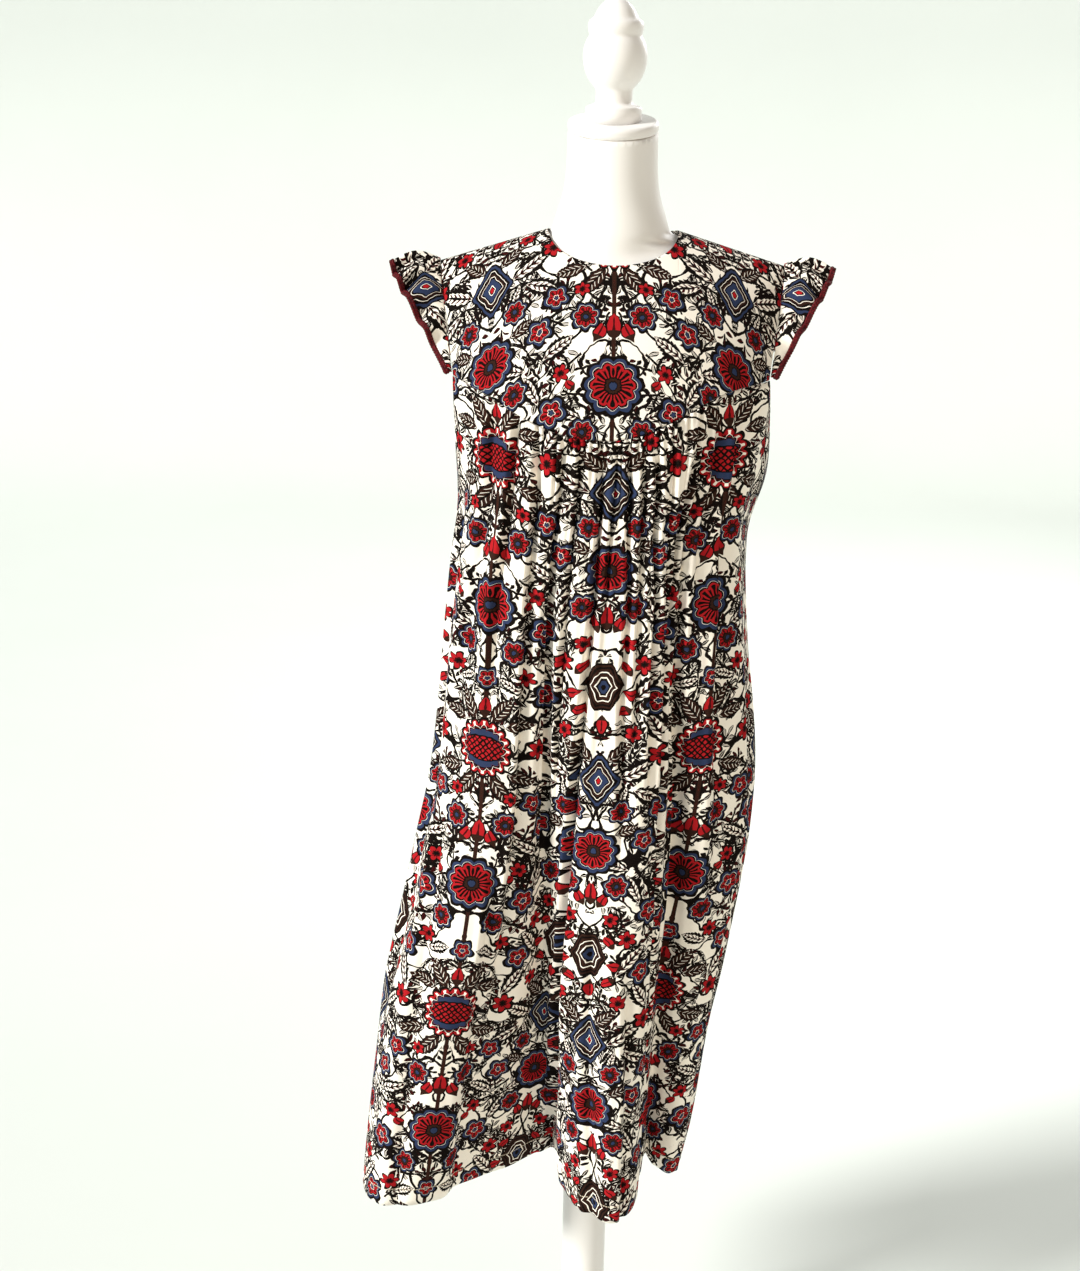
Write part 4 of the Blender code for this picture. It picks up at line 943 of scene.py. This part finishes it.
def printed_cotton():
    """Cotton lawn, screen printed: matt, crisp inks on an ivory ground, a fine even weave."""
    found = bpy.data.materials.get("printed_cotton_lawn")
    if found:
        return found
    made, tree, shader = new_finish("printed_cotton_lawn", Roughness=0.9, Specular_IOR_Level=0.04)
    flat = node(tree, "UVMap", uv_map="print")
    flat = node(tree, "VectorMath SCALE", flat, 1000.0)
    u = node(tree, "SeparateXYZ", flat)
    v = u.node.outputs[1]
    mirrored = node(tree, "Math PINGPONG", u, sizes().half * 1000)
    free = node(tree, "CombineXYZ", mirrored, node(tree, "Math MULTIPLY", v, -1.0), 0.0)
    down = node(tree, "Math WRAP", v, sizes().repeat * 1000, 0.0)
    tile = node(tree, "CombineXYZ", mirrored, node(tree, "Math MULTIPLY", down, -1.0), 0.0)
    # every outline wavers a little, as a hand-drawn one does
    waver = node(tree, "TexNoise", tile, 0.13, 0.0, noise_dimensions="2D").node.outputs["Color"]
    waver = node(tree, "VectorMath SUBTRACT", waver, (0.5, 0.5, 0.5))
    waver = node(tree, "VectorMath MULTIPLY", waver, (WAVER, WAVER, 0.0))
    tile = node(tree, "VectorMath ADD", tile, waver)
    free = node(tree, "VectorMath ADD", free, waver)

    way = [(tile, Vector((0.0, 0.0)), 0.0, 1.0)]
    colour = node(tree, "Mix", 0.0, (*sizes().ivory, 1.0), (*sizes().ivory, 1.0), data_type="RGBA")
    # thrown sprigs: outlined in black, then filled in maroon or black, with bare ground between
    bare = node(tree, "TexNoise", free, 0.022, 0.0, noise_dimensions="2D")
    bare = node(tree, "Math GREATER_THAN", bare, 0.385)
    for cell, seed, bands, share in SPRIGS:
        local, chance = scattered(tree, free, cell, seed)
        local = node(tree, "VectorMath SCALE", local, 2.0)
        out, stem = spray(tree, local)
        some = node(tree, "Math MULTIPLY", within(tree, chance, 0.0, share), bare)
        colour = lay(tree, colour, stem, "black .1 -", some)
        colour = lay(tree, colour, out, bands, some)

    # vines that wander between the motifs
    curl = node(tree, "TexNoise", free, 0.030, 0.0, noise_dimensions="2D")
    colour = lay(tree, colour, curl, "- .469 black .529 -")

    out, vein = leaf(tree, nearest(tree, way, SCALLOPED_LEAVES), 0.52, 0.22)
    colour = lay(tree, colour, out, "black .11 ivory .5 black 1 -")
    colour = lay(tree, colour, vein, "maroon .45 -", within(tree, out, 0.11, 0.42))
    out, vein = leaf(tree, nearest(tree, way, BROWN_LEAVES), 0.50, 0.12)
    colour = lay(tree, colour, out, "black .1 brown .74 black 1 -")
    colour = lay(tree, colour, vein, "ivory .17 -", within(tree, out, 0.12, 0.62))

    # stems up both axes
    colour = lay(tree, colour, node(tree, "Math MULTIPLY", mirrored, 0.01), "brown .022 -")

    place = nearest(tree, way, BUDS)
    out, vein = leaf(tree, place, 0.62, 0.0)
    colour = lay(tree, colour, out, "maroon .14 red .78 black 1 -")
    low = node(tree, "SeparateXYZ", place).node.outputs[1]
    colour = lay(tree, colour, out, "brown .8 black 1 -", within(tree, low, -1.2, -0.3))

    for spots, petals, depth, bands, petal_bands, ring in FLOWERS:
        place = nearest(tree, way, spots)
        out, petal = lobed(tree, place, petals, depth)
        colour = lay(tree, colour, out, bands)
        colour = lay(tree, colour, petal, petal_bands, within(tree, out, *ring))
    # the medallion's lattice and its two crescents
    x = node(tree, "SeparateXYZ", place)
    y = node(tree, "Math ABSOLUTE", x.node.outputs[1])
    for sign in (5.0, -5.0):
        lattice = node(tree, "Math MULTIPLY", x.node.outputs[1], 5.0)
        lattice = node(tree, "Math FRACT", node(tree, "Math MULTIPLY_ADD", x, sign, lattice))
        colour = lay(tree, colour, lattice, "black .36 -", within(tree, out, -1.0, 0.66))
    bend = node(tree, "Math MULTIPLY_ADD", node(tree, "Math MULTIPLY", x, x), 0.45, y)
    colour = lay(tree, colour, bend, "- .37 black .42 blue .6 black .66 -", within(tree, out, -1.0, 0.68))

    for spots, tall, bands in ANGULAR:
        x = node(tree, "SeparateXYZ", nearest(tree, way, spots))
        y = node(tree, "Math ABSOLUTE", x.node.outputs[1])
        x = node(tree, "Math ABSOLUTE", x)
        slant = node(tree, "Math MULTIPLY_ADD", x, 1.0 + 0.3 * tall, node(tree, "Math MULTIPLY", y, tall))
        colour = lay(tree, colour, node(tree, "Math MAXIMUM", slant, y), bands)

    # the ink sinks in unevenly, and a little of the ground shows through it
    cloud = node(tree, "TexNoise", flat, 0.9, 2.0, 0.6)
    cloud = node(tree, "MapRange", cloud, 0.40, 0.75, 0.0, 0.05)
    colour = node(tree, "Mix", cloud, colour, (*linear("#8E7F70"), 1.0), data_type="RGBA")
    # the hem is turned up 22 mm and stitched, 3 mm to a stitch
    side = node(tree, "VectorMath SCALE", node(tree, "UVMap", uv_map="hem"), 1000.0)
    side = node(tree, "SeparateXYZ", side)
    row = within(tree, side.node.outputs[1], *HEM_STITCHES)
    gap = node(tree, "Math FRACT", node(tree, "Math MULTIPLY", side, 1 / STITCH))
    gap = node(tree, "Math LESS_THAN", gap, 0.7)
    stitch = node(tree, "Math MULTIPLY", node(tree, "Math MULTIPLY", row, gap), 0.7)
    colour = node(tree, "Mix", stitch, colour, (*linear("#D8CBB4"), 1.0), data_type="RGBA")
    tree.links.new(colour, shader.inputs["Base Color"])
    # plain weave, drawn at 0.9 mm where the real threads are 0.25 mm, so that it shows
    waves = []
    for way in ("X", "Y"):
        wave = node(tree, "TexWave", flat, bands_direction=way)
        wave.node.inputs["Scale"].default_value = 0.35
        wave.node.inputs["Distortion"].default_value = 0.6
        waves.append(wave.node.outputs["Fac"])
    weave = node(tree, "Math MULTIPLY", *waves)
    weave = node(tree, "Math MULTIPLY_ADD", row, -2.5, weave)
    bump = node(tree, "Bump", 0.25, 0.0003, None, weave)
    tree.links.new(bump, shader.inputs["Normal"])
    return made


# ---------------------------------------------------------------- the operators
class MUUMUU_OT_form(Operator):
    """The limbless dress form: smooth torso, neck cap, finial, column and round base"""
    bl_idname = "muumuu.form"
    bl_label = "Dress form"

    def execute(self, context):
        shell = painted_finish("white_moulded_shell", "#F6F5F2", 0.55)
        paint = painted_finish("white_painted_beech", "#F7F6F4", 0.42)
        steel = painted_finish("white_painted_steel", "#F1F0EE", 0.38)
        alone(NODES["form_torso"])
        bpy.ops.object.duplicate()
        torso = context.object
        torso.name = torso.data.name = "torso_shell"
        bpy.ops.object.mode_set(mode="EDIT")
        bpy.ops.mesh.select_mode(type="VERT")
        bpy.ops.mesh.select_all(action="SELECT")
        bpy.ops.mesh.remove_doubles(threshold=0.00001)
        bpy.ops.mesh.dissolve_limited(angle_limit=0.0005)
        bpy.ops.mesh.select_all(action="SELECT")
        bpy.ops.mesh.tris_convert_to_quads(face_threshold=math.radians(60), shape_threshold=math.radians(60))
        bpy.ops.object.mode_set(mode="OBJECT")
        crease = torso.data.attributes.new("crease_edge", "FLOAT", "EDGE")
        for edge in torso.data.edges:
            ends = [torso.data.vertices[i].co for i in edge.vertices]
            on_top = all(p.z > NECK_TOP_Z - NECK_RIM + NECK_SLANT * p.y for p in ends)
            if on_top or max(p.z for p in ends) < FORM_LOW_Z:
                crease.data[edge.index].value = 1.0
        torso.data.materials.clear()
        torso.data.materials.append(shell)
        smooth = torso.modifiers.new("Smooth", "SUBSURF")
        smooth.levels = smooth.render_levels = 2
        bpy.ops.object.modifier_apply(modifier="Smooth")
        bpy.ops.object.shade_smooth_by_angle(angle=math.radians(40))
        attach(torso, "root")
        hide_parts("form_torso")

        radius, edge = 0.0495, 0.0045
        profile = [(radius - edge, 0.0)]
        for centre, start in ((edge, -math.pi / 2), (CAP_THICK - edge, 0.0)):
            for i in range(7):
                turn = start + math.pi / 2 * i / 6
                profile.append((radius - edge + edge * math.cos(turn), centre + edge * math.sin(turn)))
        profile += [(0.030, CAP_THICK + 0.0001), (0.0, CAP_THICK + 0.0002)]
        cap = turned_piece("neck_cap_turned", profile, paint, "neck_cap")
        alone(cap)
        cap.rotation_euler = (math.atan(NECK_SLANT), 0.0, 0.0)
        cap.location = (0.0, 0.0, NECK_TOP_Z)
        bpy.ops.object.transform_apply(location=True, rotation=True, scale=True)

        finial = turned_piece("finial_turned", FINIAL, paint, "finial")
        alone(finial)
        tilt = math.atan(NECK_SLANT)
        bpy.ops.object.mode_set(mode="EDIT")
        bpy.ops.mesh.select_all(action="SELECT")
        bpy.ops.mesh.bisect(
            plane_co=(0.0, 0.0, NECK_TOP_Z + (CAP_THICK + 0.0004) / math.cos(tilt)),
            plane_no=(0.0, -math.sin(tilt), math.cos(tilt)), use_fill=True, clear_inner=True,
        )
        bpy.ops.object.mode_set(mode="OBJECT")

        turned_piece(
            "stand_column",
            ((0.0265, 0.0243), (0.0275, 0.0253), (0.0275, 0.7987), (0.0265, 0.7997), (0.0, 0.7997)),
            steel, "column",
        )
        turned_piece(
            "stand_base",
            (
                (0.1370, 0.0), (0.1388, 0.0010), (0.1397, 0.0024), (0.1400, 0.0045), (0.1400, 0.0100),
                (0.1394, 0.0132), (0.1376, 0.0158), (0.1345, 0.0176), (0.1290, 0.0190), (0.1200, 0.0208),
                (0.1050, 0.0222), (0.0850, 0.0232), (0.0600, 0.0238), (0.0450, 0.0240), (0.0, 0.0240),
            ),
            steel, "base",
        )
        return {"FINISHED"}


class MUUMUU_OT_yokes(Operator):
    """The front yoke and the two halves of the back yoke"""
    bl_idname = "muumuu.yokes"
    bl_label = "Yokes"

    def execute(self, context):
        cotton = printed_cotton()
        for name, solid, front, low, high, flat, area in (
            ("front_yoke_cloth", "front_yoke", True, -SHOULDER_HALF, SHOULDER_HALF, (0.49, 0.26), 0.078),
            ("back_yoke_left_cloth", "back_yoke_left", False, -SHOULDER_HALF, 0.0, (0.23, 0.20), 0.033),
            ("back_yoke_right_cloth", "back_yoke_right", False, 0.0, SHOULDER_HALF, (0.23, 0.20), 0.033),
        ):
            grid = yoke_grid(front, low, high)
            if not front:
                edge, way = (-1, -1) if high == 0.0 else (0, 1)
                grid[edge, :, 0] = DRESS_X + way * BACK_SPLIT
            draw_in(grid, SEAM_INSET, SEAM_INSET, SEAM_INSET)
            towards = (0, -1 if front else 1, 0.4)
            piece = cloth_piece(name, grid, *yoke_map(grid, front), towards, solid, cotton)
        return {"FINISHED"}


class MUUMUU_OT_skirts(Operator):
    """The front and back skirt panels, gathered into the yokes"""
    bl_idname = "muumuu.skirts"
    bl_label = "Skirt panels"

    def execute(self, context):
        cotton = printed_cotton()
        for name, solid, front, columns, rows, flat, area in (
            ("front_skirt_cloth", "front_skirt", True, 20, 120, (0.86, 1.02), 0.76),
            ("back_skirt_cloth", "back_skirt", False, 20, 110, (0.68, 1.02), 0.64),
        ):
            grid, across, down, hem = skirt_grid(front, columns, rows)
            draw_in(grid, SEAM_INSET, 2 * SEAM_INSET)
            piece = cloth_piece(name, grid, across, down, (0, -1 if front else 1, 0), solid, cotton, hem)
        return {"FINISHED"}


class MUUMUU_OT_frills(Operator):
    """The gathered frill round each armhole, with its braid"""
    bl_idname = "muumuu.frills"
    bl_label = "Frills and braid"

    def execute(self, context):
        cotton, maroon = printed_cotton(), braid_finish()
        for side, right in (("left", False), ("right", True)):
            grid = frill_grid(right, 280, 24)
            wide = np.linalg.norm(grid - grid[:, :1], axis=2)
            across = np.broadcast_to((lengths(grid[:, 12]) * 1.15 + 0.02)[:, None], wide.shape)
            piece = cloth_piece(
                "frill_" + side + "_cloth", grid, across, wide + FRILL_PRINT_START, (0, 0, 1),
                "sleeve_" + side, cotton, thickness=FRILL_CLOTH,
            )
            edge = grid[:, -1]
            out = unit(grid[:, -1] - grid[:, -2])
            facing = unit(np.cross(np.gradient(edge, axis=0), out))
            facing *= np.sign(facing[len(facing) // 2, 2])
            middle = edge + out * BRAID_OUT + facing * 0.0005
            run = lengths(middle)
            fine = np.linspace(0.0, run[-1], 420)
            middle, out, facing = (
                np.stack([np.interp(fine, run, column) for column in table.T], axis=-1)
                for table in (middle, out, facing)
            )
            strands = []
            for k in range(3):
                turn = 2 * math.pi * (fine / BRAID_LAY + k / 3)[:, None]
                swing = out * (BRAID_SWING * np.sin(turn))
                strands.append(middle + swing + facing * (BRAID_RISE * np.sin(2 * turn)))
            braid = swept("braid_" + side, strands, sizes().braid, 8, maroon)
            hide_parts("sleeve_trim_" + side)
        return {"FINISHED"}


class MUUMUU_OT_fastening(Operator):
    """The pearl button on the back yoke, and its thread loop"""
    bl_idname = "muumuu.fastening"
    bl_label = "Button and loop"

    def execute(self, context):
        # polished shell: cool and warm clouds under a clear gloss
        pearl, tree, shader = new_finish("pearl_button_shell", Roughness=0.22, Coat_Weight=0.5)
        drift(tree, shader, (260.0, 3.0, 0.6), linear("#EFE8DA"), linear("#C9C3BC"))
        x, z = BUTTON_X, BACK_NECK_Z - BUTTON_DROP
        near = np.array([(x, z), (x + 0.001, z), (x - 0.001, z), (x, z - 0.001), (x, z + 0.001)])
        spot = yoke_point(*near.T, False)
        across, down = Vector(spot[1] - spot[2]).normalized(), Vector(spot[3] - spot[4]).normalized()
        out = across.cross(down).normalized()
        if out.y < 0:
            out.negate()
        face = Vector(spot[0]) + out * BUTTON_LIFT
        button = turned_piece(
            "pearl_button",
            (
                (0.0014, 0.0), (0.0014, 0.0010), (0.0016, 0.0018), (0.0050, 0.0019), (0.0054, 0.0021),
                (0.0055, 0.0024), (0.0054, 0.0028), (0.0051, 0.0031), (0.0045, 0.0032), (0.0038, 0.0029),
                (0.0024, 0.0027), (0.0, 0.0027),
            ),
            pearl, "back_button", sides=48,
        )
        alone(button)
        button.matrix_world = Matrix.Translation(face) @ out.to_track_quat("Z", "Y").to_matrix().to_4x4()
        bpy.ops.object.transform_apply(location=True, rotation=True, scale=True)

        # spun cotton: fine mottling and a soft sheen
        thread, tree, shader = new_finish("cotton_thread", Roughness=0.75, Sheen_Weight=0.2)
        drift(tree, shader, (1500.0, 2.0, 0.5), linear("#D9CDB8"), linear("#A99878"))
        side, up, start = across, -down, face + out * 0.0009
        route = [start + side * reach + up * LOOP_BEND for reach in LOOP_REACH]
        for i in range(13):
            turn = math.pi / 2 + math.pi * i / 12
            route.append(start + side * LOOP_BEND * math.cos(turn) + up * LOOP_BEND * math.sin(turn))
        route += [start + side * reach - up * LOOP_BEND for reach in reversed(LOOP_REACH)]
        loop = swept("thread_loop", [[tuple(p) for p in route]], 0.0005, 8, thread)
        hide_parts("button_loop")
        return {"FINISHED"}


class MUUMUU_OT_stage(Operator):
    """The pale floor and backdrop, the soft light and the camera"""
    bl_idname = "muumuu.stage"
    bl_label = "Stage, light and camera"

    def execute(self, context):
        scene = context.scene
        alone()
        bpy.ops.mesh.primitive_plane_add(size=FLOOR_SIZE, location=(0.0, FLOOR_Y, 0.0))
        sweep = context.object
        sweep.name = "pale_sweep"
        bpy.ops.object.transform_apply(location=True, rotation=True, scale=True)
        bpy.ops.object.mode_set(mode="EDIT")
        bpy.ops.mesh.select_mode(type="EDGE")
        bpy.ops.mesh.select_all(action="DESELECT")

        def select_foot_of_wall():
            bpy.ops.object.mode_set(mode="OBJECT")
            for edge in sweep.data.edges:
                ends = [sweep.data.vertices[i].co for i in edge.vertices]
                edge.select = all(p.y > FLOOR_Y + 0.49 * FLOOR_SIZE and p.z < 0.01 for p in ends)
            bpy.ops.object.mode_set(mode="EDIT")

        select_foot_of_wall()
        bpy.ops.mesh.extrude_region_move(TRANSFORM_OT_translate={"value": (0.0, 0.0, WALL_HEIGHT)})
        select_foot_of_wall()
        bpy.ops.mesh.bevel(offset=SWEEP_RADIUS, segments=24, affect="EDGES")
        bpy.ops.object.mode_set(mode="OBJECT")
        bpy.ops.object.shade_smooth()
        # limewashed plaster: matt, with faint clouds
        wall, tree, shader = new_finish("pale_plaster", Roughness=0.9, Specular_IOR_Level=0.1)
        drift(tree, shader, (1.2, 4.0, 0.5), linear("#E2E8E5"), linear("#DBE2DE"))
        sweep.data.materials.append(wall)

        for name, kind, place, size, power, tint in LIGHTS:
            light = bpy.data.lights.new(name, kind)
            light.energy, light.color = power, linear(tint)
            if kind == "SUN":
                light.angle = size
            else:
                light.shape, light.size = "DISK", size
            lamp = bpy.data.objects.new(name, light)
            turn = (LIGHT_AIM - Vector(place)).to_track_quat("-Z", "Y")
            lamp.matrix_world = Matrix.Translation(place) @ turn.to_matrix().to_4x4()
            scene.collection.objects.link(lamp)
        world = bpy.data.worlds.new("soft_room")
        world.use_nodes = True
        sky = world.node_tree.nodes["Background"].inputs
        sky["Color"].default_value = (*ROOM_TINT, 1.0)
        sky["Strength"].default_value = ROOM_STRENGTH
        scene.world = world
        scene.view_settings.view_transform = "Standard"

        eye = bpy.data.cameras.new("front_view")
        eye.lens, eye.sensor_width, eye.sensor_fit = CAMERA_LENS, 36.0, "AUTO"
        viewer = bpy.data.objects.new("front_view", eye)
        viewer.matrix_world = (
            Matrix.Translation(CAMERA_PLACE) @ Matrix.Rotation(math.radians(CAMERA_TILT), 4, "X")
            @ Matrix.Rotation(math.radians(CAMERA_ROLL), 4, "Z")
        )
        scene.collection.objects.link(viewer)
        scene.camera = viewer
        return {"FINISHED"}


class MUUMUU_PT_panel(Panel):
    """Lists the gown's sizes and the steps that make it"""
    bl_label = "Muumuu"
    bl_space_type = "VIEW_3D"
    bl_region_type = "UI"
    bl_category = "Muumuu"

    def draw(self, context):
        for key in MuumuuSettings.__annotations__:
            self.layout.prop(context.scene.muumuu, key)
        for step in STEPS:
            self.layout.operator("muumuu." + step)


STEPS = ("form", "yokes", "skirts", "frills", "fastening", "stage")
CLASSES = (
    MuumuuSettings, MUUMUU_OT_form, MUUMUU_OT_yokes, MUUMUU_OT_skirts, MUUMUU_OT_frills,
    MUUMUU_OT_fastening, MUUMUU_OT_stage, MUUMUU_PT_panel,
)


def register():
    for kind in CLASSES:
        bpy.utils.register_class(kind)
    bpy.types.Scene.muumuu = PointerProperty(type=MuumuuSettings)


def unregister():
    del bpy.types.Scene.muumuu
    for kind in reversed(CLASSES):
        bpy.utils.unregister_class(kind)


def main():
    register()
    for step in STEPS:
        getattr(bpy.ops.muumuu, step)()


if __name__ == "__main__":
    main()
